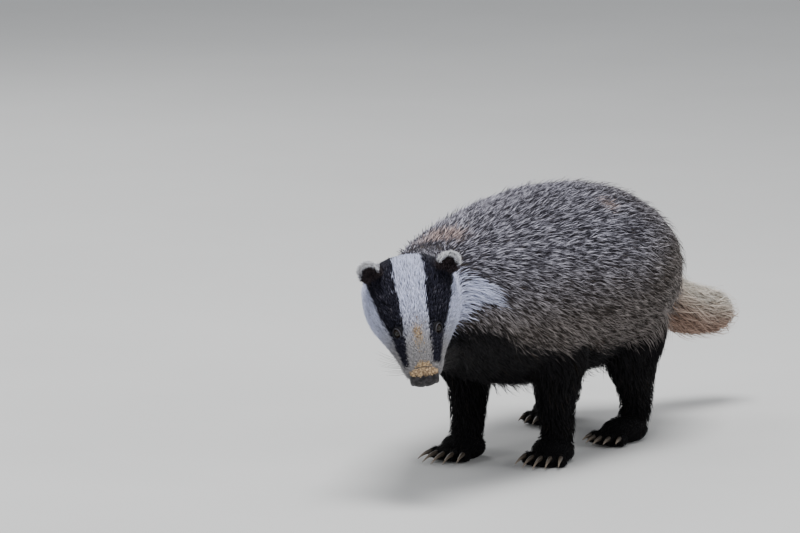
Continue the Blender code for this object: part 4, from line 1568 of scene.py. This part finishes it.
        path, faces = [place + facing * (lift * rises[0])[:, None]], [facing]
        spot = place
        for before, share, rise in zip(shares_along, shares_along[1:], rises[1:]):
            ahead = spot + heading * ((share - before) * length)[:, None]
            found = self.reader.read(ahead)
            spot = ahead + (found["place"] - ahead) * style.cling
            along = flat_on(heading * 0.55 + found["lie"] * 0.45, found["facing"])
            heading = unit(along * style.cling + heading * (1 - style.cling))
            heading = unit(heading + np.cross(found["facing"], heading) * wave)
            pull = inward - dot(inward, found["facing"]) * found["facing"]
            gathered = spot + pull * (style.gather * share**1.5)
            path.append(gathered + found["facing"] * (lift * rise)[:, None])
            faces.append(found["facing"])
        lines = np.stack(path, 1)
        lines[..., 2] = np.maximum(lines[..., 2], self.FLOOR_GAP)
        least = np.where(guard, 0.5, 0.0)
        tint = least + (1 - least) * self.rng.uniform(0, 1, count)
        return {
            "path": lines,
            "facing": np.stack(faces, 1),
            "width": width,
            "root": place,
            "normal": facing,
            "shares": shares,
            "tint": tint,
            "clump": clump[:, 2],
        }

    def mesh(
        self, name: str, style: TuftStyle, tufts: dict[str, Array], unrolled: Array
    ) -> Mesh:
        """Three-sided, tapered, closed tufts along their centrelines.

        Ring points are path - w/2 side, path + 0.4 w out and path + w/2 side, where w is the
        width times the ring's share of it, and the last point is the tip.

        Args:
            name: what the piece is called.
            style: how its tufts are made.
            tufts: the arrays that strands gives.
            unrolled: where each tuft lies on the UV map.

        Returns:
            The mesh with its UV map, its markings and its chance numbers.
        """
        path, width = tufts["path"], tufts["width"]
        places, widths, _ = style.rows.T
        count, rings = len(path), len(places) - 1
        along = unit(np.gradient(path, axis=1))
        side = unit(np.cross(tufts["facing"], along))
        out = np.cross(along, side)
        half = (width[:, None] * widths[:rings] / 2)[..., None]
        body = path[:, :rings]
        beside, above = side[:, :rings] * half, out[:, :rings] * half * 0.8
        ring = np.stack([body - beside, body + above, body + beside], axis=2)
        points = np.concatenate([ring.reshape(count, -1, 3), path[:, rings:]], axis=1)
        loop, spot, size = self.pattern(places.tolist())
        per = rings * 3 + 1
        loops = (np.arange(count)[:, None] * per + loop).ravel()
        starts = (np.arange(count)[:, None] * len(loop) + np.cumsum(size) - size).ravel()
        mesh = bpy.data.meshes.new(name)
        mesh.vertices.add(count * per)
        mesh.loops.add(len(loops))
        mesh.polygons.add(len(starts))
        mesh.vertices.foreach_set("co", points.astype(np.float32).ravel())
        mesh.loops.foreach_set("vertex_index", loops.astype(np.int32))
        mesh.polygons.foreach_set("loop_start", starts.astype(np.int32))
        uv = unrolled[:, None] * (1 - TUFT_PATCH) + spot * TUFT_PATCH
        layer = mesh.uv_layers.new(name="OFBake")
        layer.uv.foreach_set("vector", uv.astype(np.float32).ravel())
        mesh.update(calc_edges=True)
        mesh.validate()
        mesh.shade_smooth()
        store(mesh, "along", np.tile([*np.repeat(places[:rings], 3), 1.0], count))
        seen = path[:, rings - 1] + self.rng.normal(0, 1, (count, 3)) * style.blur
        marks = Markings(self.form).at(seen, tufts["normal"], tufts["shares"])
        for mark, values in {**marks, "tint": tufts["tint"], "clump": tufts["clump"]}.items():
            store(mesh, mark, np.repeat(values, per))
        return mesh

    @staticmethod
    def pattern(marks: Sequence[float]) -> tuple[Array, Array, Array]:
        """The faces of one tuft.

        Args:
            marks: the places of the rings and the tip along it.

        Returns:
            The faces' corners, where these lie on the tuft's patch and each face's size.
        """
        rings = len(marks) - 1
        corners, spots, sizes = [(2, 1, 0)], [((0, 0), (0.33, 0), (0.17, 0.08))], [3]
        for row in range(rings - 1):
            for k in range(3):
                here, there = row * 3 + k, row * 3 + (k + 1) % 3
                corners.append((here, there, there + 3, here + 3))
                low, high, left, right = marks[row], marks[row + 1], k / 3, (k + 1) / 3
                spots.append(((left, low), (right, low), (right, high), (left, high)))
                sizes.append(4)
        last = (rings - 1) * 3
        for k in range(3):
            corners.append((last + k, last + (k + 1) % 3, last + 3))
            spots.append(((k / 3, marks[-2]), ((k + 1) / 3, marks[-2]), ((k + 0.5) / 3, 1.0)))
            sizes.append(3)
        loop = np.array([i for face in corners for i in face])
        spot = np.array([p for face in spots for p in face])
        return loop, spot, np.array(sizes)

    def unroll(self, region: Region, root: Array) -> Array:
        """Where each root lies on the region's own form, unrolled flat into a unit square.

        Args:
            region: the tufts' region.
            root: their roots.

        Returns:
            Two numbers for each root, from 0 to 1.
        """
        form = self.form
        if region in (Region.LEG, Region.PAW):
            nearest, angle = form.nearest_leg(form.design(root))
            down = np.clip(1 - root[:, 2] / self.LEG_HEIGHT, 0, 1)
            return np.stack([(nearest + angle / math.tau % 1.0) / 4, down], 1) * 0.98 + 0.01
        if region in (Region.HEAD, Region.EAR):
            _, place, angle = form.skull.where(form.in_head(root))
        else:
            loft = form.tail if region is Region.TAIL else form.trunk
            _, place, angle = loft.where(form.design(root))
        return np.stack([angle / math.tau % 1.0, place], 1) * 0.98 + 0.01

    def pieces(self, region: Region, root: Array) -> list[tuple[str, str, Array]]:
        """The names, slots and members of the meshes that a region's tufts are split into.

        Args:
            region: the tufts' region.
            root: their roots.

        Returns:
            A name, a slot and a mask of the roots for each piece.
        """
        if region is Region.BODY:
            belly = root[:, 2] < self.BELLY_HEIGHT
            steps = np.quantile(root[~belly, 1], (0.2, 0.4, 0.6, 0.8))
            band = np.searchsorted(steps, root[:, 1])
            names = ("neck", "shoulders", "ribs", "loins", "rump")
            made = [(f"coat_{name}", "coat", (band == k) & ~belly) for k, name in enumerate(names)]
            return [*made, ("coat_belly", "coat", belly)]
        if region is Region.HEAD:
            along = self.form.in_head(root)[:, 1]
            fore = along < np.quantile(along, 0.5)
            return [("coat_muzzle", "face_fur", fore), ("coat_crown", "face_fur", ~fore)]
        if region in (Region.EAR, Region.TAIL):
            ears = region is Region.EAR
            name, slot = ("coat_ears", "face_fur") if ears else ("coat_tail", "tail_fur")
            return [(name, slot, np.ones(len(root), bool))]
        front = root[:, 1] < self.HIND_START
        kind = "legs" if region is Region.LEG else "paws"
        return [(f"coat_fore{kind}", "leg_fur", front), (f"coat_hind{kind}", "leg_fur", ~front)]

    def build(self, finish: Material) -> None:
        """Grows every region's tufts and dresses them.

        Args:
            finish: the tufts' material.
        """
        for region, style in STYLES.items():
            tufts = self.strands(region, style)
            unrolled = self.unroll(region, tufts["root"])
            for name, slot, members in self.pieces(region, tufts["root"]):
                part = {key: values[members] for key, values in tufts.items()}
                square = unrolled[members]
                low, high = square.min(axis=0), square.max(axis=0)
                square = (square - low) / np.maximum(high - low, 1e-6)
                show(self.mesh(name, style, part, square), finish, slot)


# Finishes

@dataclass(frozen=True)
class FurFinish:
    """The colours of the coat, as linear RGB, and how they are laid along each hair."""

    root: Colour = (0.15, 0.128, 0.115)
    band: Colour = (0.046, 0.043, 0.056)
    tip: Colour = (0.61, 0.595, 0.69)
    brown_root: Colour = (0.17, 0.132, 0.108)
    brown_band: Colour = (0.05, 0.041, 0.037)
    brown_tip: Colour = (0.31, 0.275, 0.262)
    black: Colour = (0.0036, 0.0034, 0.004)
    # Painted sheen: black hair turns paler towards its tip, bluish on the face.
    painted_sheen: Colour = (0.015, 0.014, 0.0165)
    face_black: Colour = (0.006, 0.006, 0.0115)
    face_painted_sheen: Colour = (0.028, 0.028, 0.048)
    umber: Colour = (0.08, 0.059, 0.06)
    white: Colour = (0.665, 0.7, 0.9)
    frost: Colour = (0.93, 0.93, 0.96)
    # White hair darkens towards its root: partly its own colour, partly painted shade deep in the
    # coat between the tufts.
    white_root_and_shade: Colour = (0.3, 0.3, 0.345)
    fawn: Colour = (0.275, 0.255, 0.212)
    buff: Colour = (0.62, 0.54, 0.45)
    buff_tip: Colour = (0.8, 0.76, 0.68)
    under: Colour = (0.17, 0.108, 0.08)
    under_tip: Colour = (0.48, 0.33, 0.26)
    rust: Colour = (0.82, 0.62, 0.56)
    soil: Colour = (0.56, 0.405, 0.24)
    mud: Colour = (0.12, 0.08, 0.048)
    roughness: float = 0.62

    def colour(self, shader: Shader, along: Value, tint: Value, clump: Any) -> Value:
        """The coat's colour from the place along the hair and the hair's own shade.

        Args:
            shader: the material that gets the nodes.
            along: the place along the hair, 0 at its root and 1 at its tip.
            tint: a chance number from 0 to 1 for each hair.
            clump: a chance number round 0 for each clump of hairs.

        Returns:
            The colour.
        """
        mix, read = shader.mix, shader.attribute
        cloud = shader.noise(shader.place(), 34.0, 2.0)
        pale, brown = read("pale"), read("brown")
        shifted = along + (tint - 0.5) * 0.3 + (cloud - 0.5) * 0.22 + pale * 0.05
        shifted = shifted + clump * 0.022
        root = mix(brown, self.root, self.brown_root)
        band = mix(brown, self.band, self.brown_band)
        tip = mix(brown, self.tip, self.brown_tip)
        grey = mix(shifted.between(0.22, 0.42), root, band)
        grey = mix(shifted.between(0.64, 0.88), grey, tip)
        rusty = (read("rust") + (cloud - 0.5) * 0.5).between(0.15, 0.75)
        grey = mix(rusty * 0.85, grey, mix(shifted.between(0.4, 0.9), band, self.rust))
        flecks = tint.between(0.88, 0.92) * along.between(0.6, 0.9) * (1.0 - brown) * 0.2
        deep = mix(brown, self.face_black, self.black)
        # Painted sheen on the tips of black hair; on the ears their dark brown takes its place.
        shine = mix(brown, self.face_painted_sheen, self.painted_sheen)
        shine = mix(read("umber"), shine, self.umber)
        black = mix(along.between(0.3, 1.0), deep, shine)
        black = mix(flecks, black, self.tip)
        snow = mix(read("fawn") * 0.8, self.white, self.fawn)
        snow = mix(read("frost"), snow, self.frost)
        # Darker towards the root: partly the hair's colour, partly painted shade between the tufts.
        white = mix(along.between(0.0, 0.5), self.white_root_and_shade, snow)
        buff = mix(brown, self.buff, self.under)
        buff_tip = mix(brown, self.buff_tip, self.under_tip)
        buff = mix(shifted.between(0.35, 0.95), buff, buff_tip)
        grain = (cloud - 0.5) * 0.3
        colour = mix(read("buff").between(0.3, 0.7), grey, buff)
        dark = (read("black") + grain).between(0.34, 0.66)
        colour = mix(dark, colour, black)
        light = (read("white") + grain * 0.5 + (tint - 0.5) * 0.4).between(0.34, 0.66)
        colour = mix(light, colour, white)
        soiled = (read("soil") + (tint - 0.5) * 0.7).between(0.3, 0.75)
        grit = shader.noise(shader.place(), 480.0, 2.0)
        dry = mix(((tint - 0.5) * 0.7 + grit).between(0.32, 0.62), self.mud, self.soil)
        colour = mix(soiled * 0.85, colour, dry)
        return mix(1.0, colour, self.grey(shader, tint * 0.44 + 0.66), "MULTIPLY")

    @staticmethod
    def grey(shader: Shader, value: Value) -> Value:
        """A grey colour from a number."""
        return shader.node("ShaderNodeCombineColor", {}, {0: value, 1: value, 2: value})

    def tufts(self) -> Material:
        """The finish of the tufts.

        Returns:
            The material.
        """
        shader = Shader("badger_fur")
        along, tint, clump = map(shader.attribute, ("along", "tint", "clump"))
        colour = self.colour(shader, along, tint, clump)
        fine = shader.noise(shader.place(), 1400.0, 2.0)
        return shader.finish(colour, fine * 0.2 + (self.roughness - 0.1), fine, 0.00008, 0.1)

    def skin(self) -> Material:
        """The finish of the skin under the tufts, in the same markings.

        Returns:
            The material.
        """
        shader = Shader("badger_underfur")
        streak = shader.noise(shader.stretched((900.0, 260.0, 700.0)), 1.0)
        colour = self.colour(shader, streak * 0.45 + 0.22, streak, 0.0)
        dim = shader.mix(1.0, colour, (0.72, 0.7, 0.7), "MULTIPLY")
        return shader.finish(dim, streak * 0.15 + 0.75, streak, 0.0006, 0.1)


@dataclass(frozen=True)
class EyeFinish:
    """A dark brown eye with a black pupil under a wet cornea."""

    iris: Colour = (0.011, 0.006, 0.004)
    pupil: Colour = (0.001, 0.001, 0.001)
    white: Colour = (0.004, 0.003, 0.003)

    def material(self) -> Material:
        """The eye's finish, by the angle from where it looks.

        Returns:
            The material.
        """
        shader = Shader("eye")
        angle = shader.attribute("from_look")
        fibres = shader.noise(shader.place(), 1600.0, 2.0)
        iris = shader.mix(fibres, self.iris, (0.018, 0.01, 0.006))
        colour = shader.mix(angle.between(0.4, 0.47), self.pupil, iris)
        colour = shader.mix(angle.between(0.8, 0.92), colour, self.white)
        return shader.finish(colour, fibres * 0.03 + 0.05, shine=0.34)


@dataclass(frozen=True)
class BareSkinFinish:
    """Bare, pebbled skin with dry dust on its upper edge: the nose pad."""

    light: Colour = (0.034, 0.031, 0.035)
    dark: Colour = (0.0032, 0.0029, 0.0032)
    dust: Colour = (0.26, 0.175, 0.1)
    pebbles: float = 1000.0
    depth: float = 0.0003
    roughness: float = 0.36

    def material(self) -> Material:
        """The finish: cells for pebbles and a cloud for worn, paler places.

        Returns:
            The material.
        """
        shader = Shader("nose_skin")
        sockets = {"Vector": shader.place(), "Scale": self.pebbles}
        cells = shader.node("ShaderNodeTexVoronoi", {}, sockets)
        cloud = shader.noise(shader.place(), 170.0, 4.0)
        worn = cloud.between(0.36, 0.64) + cells * 0.5 - 0.25
        colour = shader.mix(worn.clamped(), self.dark, self.light)
        specks = shader.noise(shader.place(), 520.0)
        dusted = shader.attribute("dust") * 0.55 + (specks - 0.5) * 2.4 + (cloud - 0.5) * 0.8
        colour = shader.mix(dusted.between(0.34, 0.7) * 0.8, colour, self.dust)
        rough = cloud * 0.25 + (self.roughness - 0.1)
        return shader.finish(colour, rough, 1.0 - cells, self.depth, 0.22)


@dataclass(frozen=True)
class LidFinish:
    """Dark, thin skin: painted shade, black, at the rim and in the fold, and a painted highlight,
    paler, between them.
    """

    base: Colour = (0.0085, 0.008, 0.011)
    crease: Colour = (0.0012, 0.0011, 0.0013)
    ridge: Colour = (0.105, 0.1, 0.12)

    def material(self) -> Material:
        """The lids' finish, by the painted shade and painted highlight that the mesh keeps.

        Returns:
            The material.
        """
        shader = Shader("lid_skin")
        grain = shader.noise(shader.place(), 1500.0)
        # Painted highlight between rim and fold; painted shade at the rim and in the fold.
        ridge = shader.attribute("ridge") * (grain + 0.4)
        colour = shader.mix(ridge.clamped(), self.base, self.ridge)
        colour = shader.mix(shader.attribute("crease").clamped(), colour, self.crease)
        return shader.finish(colour, grain * 0.2 + 0.45, grain, 0.00008, 0.15)


@dataclass(frozen=True)
class ClawFinish:
    """Dark horn that pales towards the worn tip, with fine length lines."""

    root: Colour = (0.05, 0.038, 0.028)
    tip: Colour = (0.23, 0.185, 0.14)

    def material(self) -> Material:
        """The claw's finish, by the place along it.

        Returns:
            The material.
        """
        shader = Shader("claw_horn")
        lines = shader.noise(shader.stretched((1800.0, 120.0, 1800.0)), 1.0)
        along = (shader.attribute("along") + (lines - 0.5) * 0.35).between(0.15, 1.0)
        colour = shader.mix(along, self.root, self.tip)
        return shader.finish(colour, lines * 0.2 + 0.28, lines, 0.00012)


@dataclass(frozen=True)
class WhiskerFinish:
    """Stiff dark hair with a faint shine."""

    dark: Colour = (0.01, 0.009, 0.009)
    light: Colour = (0.05, 0.046, 0.044)

    def material(self) -> Material:
        """The whiskers' finish, streaked by a fine cloud.

        Returns:
            The material.
        """
        shader = Shader("whisker_hair")
        streak = shader.noise(shader.place(), 300.0, 2.0)
        colour = shader.mix(streak, self.dark, self.light)
        return shader.finish(colour, streak * 0.2 + 0.35, streak, 0.00004)


@dataclass(frozen=True)
class SoilFinish:
    """Soil that dries paler in its lumps, with light grains in it."""

    damp: Colour = (0.11, 0.06, 0.028)
    dry: Colour = (0.6, 0.43, 0.24)
    grains: Colour = (0.62, 0.48, 0.32)

    def material(self) -> Material:
        """The crumbs' finish, by a coarse cloud and a fine one.

        Returns:
            The material.
        """
        shader = Shader("dry_soil")
        grain = shader.noise(shader.place(), 2600.0)
        lump = shader.noise(shader.place(), 420.0)
        colour = shader.mix(lump.between(0.4, 0.62), self.damp, self.dry)
        colour = shader.mix(grain * 0.4, colour, self.grains)
        return shader.finish(colour, grain * 0.1 + 0.85, grain, 0.0002)


# Eyes, nose, claws and whiskers

@dataclass
class Eyes:
    """Both eyeballs and their lids."""

    form: BadgerForm
    cornea: float = 0.0005
    opening: Triple = (0.0051, 0.0036, 0.004)
    outer: float = 0.0092

    def eyeball(self, hand: int, side: str, finish: Material) -> None:
        """A ball with a cornea: radius r + c exp(-(angle / 0.62)^2) round where it looks.

        Args:
            hand: +1 for the left side, -1 for the right.
            side: the same as a word.
            finish: its material.
        """
        radius = self.form.eye_radius
        points, faces = ellipsoid([radius] * 3, 30, 48)
        angle = np.arccos(np.clip(points[:, 2] / radius, -1, 1))
        grown = 1 + self.cornea / radius * bell(angle, 0, 0.62)
        shape = moved((points * grown[:, None], faces), self.form.sunk_eye(hand))
        mesh = mesh_from(f"eyeball_{side}", shape)
        store(mesh, "from_look", angle)
        show(mesh, finish, "eye", f"eye_{side}")

    def lids(self, hand: int, side: str, finish: Material) -> None:
        """The lids: a ring of skin from the almond opening out to where it dips under the fur.

        Going out by s from 0 to 1, the height falls from the ball to the skin and rises by a lid's
        thickness at the rim, a fold at s = 0.45 divides the lid from the brow, and the ring closes
        behind, inside the eyeball. The mesh keeps painted shade at the rim, in the fold and behind,
        and a painted highlight between rim and fold, strongest on the upper lid.

        Args:
            hand: +1 for the left eye and -1 for the right one.
            side: the same as a word.
            finish: the lids' material.
        """
        t = np.linspace(0, 2 * math.pi, 72, endpoint=False)[:, None]
        s = np.linspace(0, 1, 16)[None]
        upper = hand * np.sin(t) > 0
        half_height = np.where(upper, self.opening[1], self.opening[2])
        x = self.opening[0] * np.cos(t)
        y = half_height * np.sin(t) * (1 - 0.2 * np.cos(t) ** 4)
        inner = np.hypot(x, y)
        ball = self.form.eye_radius + 0.0004
        z_rim = np.sqrt(np.maximum(ball**2 - inner**2, 0))
        reach = inner + (self.outer - inner) * s
        swell = 0.0011 * np.sin(math.pi * np.minimum(1, s * 1.15)) ** 0.7
        fold = -0.0006 * bell(s, 0.45, 0.07) * np.where(upper, 1.0, 0.55)
        height = z_rim + (0.0012 - z_rim) * s**1.25 + (swell + fold) * (1 - 0.2 * s)
        top = np.stack([reach * x / inner, reach * y / inner, height], -1)
        back = top[:, ::-1][:, ::3] * np.array([0.92, 0.92, 1.0])
        back[..., 2] = np.minimum(back[..., 2] - 0.0022, 0.003)
        ring = np.concatenate([top, back], axis=1)
        rows, columns = ring.shape[:2]
        shape = (ring.reshape(-1, 3), quad_faces(rows, columns, rows, columns))
        mesh = mesh_from(f"eyelids_{side}", moved(shape, self.form.sunk_eye(hand)))
        # Painted shade at the rim against the eyeball, in the fold and on the hidden back; painted
        # highlight between rim and fold, strongest on the upper lid.
        dark = bell(s, 0, 0.11) + bell(s, 0.47, 0.09)
        lid_highlight = bell(s, 0.25, 0.09) * np.where(upper, 1.0, 0.35)
        rest = np.zeros((len(t), back.shape[1]))
        store(mesh, "crease", np.concatenate([dark + 0 * t, rest + 1], axis=1).ravel())
        store(mesh, "ridge", np.concatenate([lid_highlight, rest], axis=1).ravel())
        show(mesh, finish, "nose_skin")

    def build(self, eye: Material, lid: Material) -> None:
        """Makes both eyes with their lids.

        Args:
            eye: the eyeballs' finish.
            lid: the lids' finish.
        """
        for hand, side in SIDES:
            self.eyeball(hand, side, eye)
            self.lids(hand, side, lid)


@dataclass
class NosePad:
    """The bare nose pad with its comma-shaped nostrils and the groove between them."""

    form: BadgerForm

    def build(self, finish: Material) -> None:
        """A loft of ovals whose front is pressed in at each nostril and along the middle.

        Args:
            finish: its material.
        """
        points, faces = Loft(NOSE, 2.4, (0.2, 0.34)).shell(46, 72)
        front = ease(-0.149, -0.155, points[:, 1])
        push = np.zeros(len(points))
        for hand, _ in SIDES:
            push += 0.005 * bump(points[:, [0, 2]], (0.0078 * hand, -0.001), (0.003, 0.0024))
            push += 0.0026 * bump(points[:, [0, 2]], (0.0122 * hand, -0.0038), (0.0034, 0.0015))
            push -= 0.0008 * bump(points[:, [0, 2]], (0.0078 * hand, 0.0052), (0.0052, 0.0026))
        groove = bell(points[:, 0], 0, 0.0009) * ease(0.004, -0.002, points[:, 2])
        points[:, 1] += front * (push + 0.0012 * groove)
        ahead = ease(-0.14, -0.15, points[:, 1])
        points[:, 1] -= self.form.muzzle_reach * ahead + 0.0008
        points[:, 2] -= 0.001 * ahead
        mesh = mesh_from("nose_pad", moved((points, faces), self.form.head))
        dust = ease(0.0085, 0.011, points[:, 2]) * ease(-0.1562, -0.151, points[:, 1])
        store(mesh, "dust", dust)
        show(mesh, finish, "nose_skin", "nose")


@dataclass
class Claws:
    """The five claws of each paw."""

    form: BadgerForm
    root_radius: float = 0.0031

    def claw(self, length: float, place: Matrix) -> tuple[Shape, Array]:
        """A claw: a path that drops by 0.3 t^2 of its length, with an oval, tapering section.

        Args:
            length: its length.
            place: its frame.

        Returns:
            Its points and faces, and each point's place along it.
        """
        t = np.linspace(-0.16, 1, 16)
        drop = -0.3 * length * np.clip(t, 0, 1) ** 2
        path = np.stack([0 * t, -length * t, drop], 1)
        radii = self.root_radius * np.clip(1.0 - 0.88 * np.clip(t, 0, 1) ** 1.15, 0.08, 1.0)
        points, faces = tube(path, radii, 12)
        points[:, 0] *= 0.86
        along = np.concatenate([np.repeat(np.clip(t, 0, 1), 12), [0.0, 1.0]])
        return moved((points, faces), place), along

    def build(self, finish: Material) -> None:
        """Makes one piece for each paw.

        Args:
            finish: the claws' material.
        """
        for limb in self.form.limbs:
            shapes, alongs = [], []
            for spread, toe in limb.toes():
                place = self.form.offset @ toe @ Matrix.Translation((0, -0.0095, 0.003))
                shape, along = self.claw(limb.claw_length * (1.0 - 0.22 * spread**2), place)
                shapes.append(shape)
                alongs.append(along)
            mesh = mesh_from(f"claws_{limb.name}", joined(shapes))
            store(mesh, "along", np.concatenate(alongs))
            show(mesh, finish, "claw_horn", *(f"{limb.name}_claw_{k}" for k in range(1, 6)))


@dataclass
class Whiskers:
    """Stiff dark whiskers on the upper lip."""

    form: BadgerForm
    per_side: int = 12
    rows: int = 3
    radius: float = 0.00026
    least: float = 0.024
    most: float = 0.036
    bend: Sequence[float] = (0.0, 0.45, -0.12)

    def build(self, finish: Material) -> None:
        """Thin tubes that leave the lip sideways and sweep back.

        Args:
            finish: its material.
        """
        rng = np.random.default_rng(SEED + 5)
        shapes = []
        t = np.linspace(0, 1, 9)[:, None]
        for hand, _ in SIDES:
            for k in range(self.per_side):
                row, column = k % self.rows, k // self.rows
                along = -0.137 + 0.0048 * column + rng.uniform(-0.0008, 0.0008)
                start = np.array([hand * (0.0165 + 0.0016 * column), along, -0.0015 - 0.0026 * row])
                way = np.array([hand * 0.86, 0.12 + 0.12 * column, -0.3 - 0.1 * row])
                length = rng.uniform(self.least, self.most)
                path = start + length * (t * unit(way) + 0.5 * t**2 * np.array(self.bend))
                shapes.append(tube(path, self.radius * (1.02 - 0.85 * t[:, 0]), 5))
        show(mesh_from("whiskers", moved(joined(shapes), self.form.head)), finish, "face_fur")


@dataclass
class SoilCrumbs:
    """Crumbs of dry soil over the nose and on the bridge of the muzzle."""

    form: BadgerForm
    reader: SurfaceReader
    over_nose: int = 620
    on_bridge: int = 190
    on_pad: int = 1500

    def fur_spots(self, rng: np.random.Generator) -> Array:
        """Places above the fur over the nose and on the bridge, in the head's frame.

        Args:
            rng: the chance numbers.

        Returns:
            One row to a crumb.
        """
        x = np.clip(rng.normal(0.0008, 0.0075, self.over_nose), -0.014, 0.015)
        y = -0.1496 + np.abs(rng.normal(0, 0.0034, self.over_nose)) * (1.1 - (x / 0.016) ** 2)
        spread = ((-0.0005, 0.003), (-0.109, 0.009))
        bridge = [rng.normal(middle, width, self.on_bridge) for middle, width in spread]
        flat = np.hstack([[x, y], bridge]).T
        return np.column_stack([flat, np.full(len(flat), 0.032)])

    def pad_spots(self, rng: np.random.Generator) -> Array:
        """Places on the top of the nose pad, down to a ragged edge, in the head's frame.

        Args:
            rng: the chance numbers.

        Returns:
            One row to a crumb.
        """
        x = np.clip(rng.normal(0.0008, 0.0088, self.on_pad), -0.0152, 0.0156)
        ragged = 1 + 0.1 * np.sin(x * 900) + 0.07 * np.sin(x * 2300 + 1)
        reach = 0.0104 * ragged * np.clip(1.06 - (x / 0.0168) ** 2, 0, 1) ** 0.4
        y = -0.1442 - rng.beta(1.3, 1.5, self.on_pad) * reach
        arch = (1 - np.abs(x / 0.0172) ** 2.4) ** (1 / 2.4)
        z = 0.0017 + np.interp(y, (-0.156, -0.153, -0.147), (0.0113, 0.0126, 0.0131)) * arch
        z += rng.uniform(-0.0002, 0.0009, self.on_pad) * arch
        return np.stack([x, y, z], 1)

    def build(self, finish: Material) -> None:
        """Sets a lumpy ball at each place; the ones in the fur lie among its tips.

        Args:
            finish: the crumbs' material.
        """
        rng = np.random.default_rng(SEED + 9)
        found = self.reader.read(placed(self.fur_spots(rng), self.form.head))
        depth = rng.uniform(0.001, 0.0024, (len(found["place"]), 1))
        lifted = found["place"] + found["facing"] * depth
        shapes = []
        for place in np.vstack([lifted, placed(self.pad_spots(rng), self.form.head)]):
            size = 0.00026 + 0.0006 * rng.uniform() ** 2.2
            points, faces = ellipsoid(size * rng.uniform(0.5, 1.3, 3), 3, 6)
            shapes.append((points * (1 + 0.26 * rng.normal(0, 1, (len(points), 1))) + place, faces))
        show(mesh_from("soil_crumbs", joined(shapes)), finish, "face_fur")


# The studio

@dataclass
class Studio:
    """A pale, flat floor, soft lights and the camera."""

    eye_pixel: Pair = (437.0, 328.0)
    azimuth: float = math.radians(29)
    elevation: float = math.radians(9)
    distance: float = 7.7
    lens: float = 305.0
    sensor: float = 36.0
    aim: Triple = (0.0, 0.0, 0.2)
    floor_half: float = 30.0
    floor_steps: int = 13
    sky: Colour = (0.92, 0.95, 1.0)
    sky_strength: float = 0.5

    LIGHTS = (
        ("top_light", (0.2, -0.4, 3.2), 1.4, 112.0),
        ("side_light", (4.5, -0.3, 2.2), 1.3, 54.0),
        ("front_light", (-1.5, -4.5, 1.7), 1.1, 44.0),
        ("rim_light", (-2.6, 1.6, 2.0), 1.8, 35.0),
    )

    def directions(self) -> tuple[Vector, Vector, Vector]:
        """Back to the camera, right and up in the picture.

        Returns:
            Three directions.
        """
        a, e = self.azimuth, self.elevation
        back = Vector((math.sin(a) * math.cos(e), -math.cos(a) * math.cos(e), math.sin(e)))
        right = Vector((math.cos(a), math.sin(a), 0.0))
        return back, right, back.cross(right)

    def camera(self) -> None:
        """Places the camera so that the left eye falls on its pixel of the picture."""
        back, right, up = self.directions()
        pixel = self.sensor / self.lens * self.distance / IMAGE_WIDTH
        target = eye_middle() - right * (self.eye_pixel[0] - IMAGE_WIDTH / 2) * pixel
        target -= up * (IMAGE_HEIGHT / 2 - self.eye_pixel[1]) * pixel
        data = bpy.data.cameras.new("camera")
        data.lens = self.lens
        data.sensor_width = self.sensor
        data.clip_end = 90.0
        made = add_object("camera", data)
        made.matrix_world = axes_at(target + back * self.distance, right, up, back)
        bpy.context.scene.camera = made

    def floor(self) -> None:
        """A wide flat square, cut into smaller squares."""
        count = self.floor_steps
        steps = np.linspace(-self.floor_half, self.floor_half, count)
        x, y = np.meshgrid(steps, steps)
        points = np.stack([x, y, 0 * x], -1).reshape(-1, 3)
        faces = quad_faces(count - 1, count - 1, count, count)
        mesh = mesh_from("floor", (points, [face[::-1] for face in faces]))
        shader = Shader("floor")
        cloud = shader.noise(shader.place(), 3.0, 4.0)
        colour = shader.mix(cloud, (0.6, 0.6, 0.59), (0.66, 0.66, 0.65))
        mesh.materials.append(shader.finish(colour, 0.9))
        add_object("floor", mesh)

    def light(self, name: str, place: Sequence[float], size: float, power: float) -> None:
        """A soft square light that looks at the badger.

        Args:
            name: what it is called.
            place: where it hangs.
            size: its width.
            power: its power in watts.
        """
        data = bpy.data.lights.new(name, "AREA")
        data.shape = "SQUARE"
        data.size = size
        data.energy = power
        turn = (Vector(self.aim) - Vector(place)).to_track_quat("-Z", "Y").to_matrix().to_4x4()
        add_object(name, data).matrix_world = Matrix.Translation(place) @ turn

    def build(self) -> None:
        """Makes the camera, the floor, the lights and the sky."""
        self.camera()
        self.floor()
        for light in self.LIGHTS:
            self.light(*light)
        world = bpy.data.worlds.new("sky")
        world.use_nodes = True
        sky = world.node_tree.nodes["Background"]
        sky.inputs["Color"].default_value = (*self.sky, 1.0)
        sky.inputs["Strength"].default_value = self.sky_strength
        bpy.context.scene.world = world


def main() -> None:
    """Builds the studio and the badger, from the skin outwards."""
    form = BadgerForm()
    Studio().build()
    fur = FurFinish()
    skin = BadgerSkin(form)
    reader = SurfaceReader(skin.build(fur.skin()))
    Coat(form, skin, reader).build(fur.tufts())
    Eyes(form).build(EyeFinish().material(), LidFinish().material())
    NosePad(form).build(BareSkinFinish().material())
    Claws(form).build(ClawFinish().material())
    Whiskers(form).build(WhiskerFinish().material())
    SoilCrumbs(form, reader).build(SoilFinish().material())


if __name__ == "__main__":
    main()
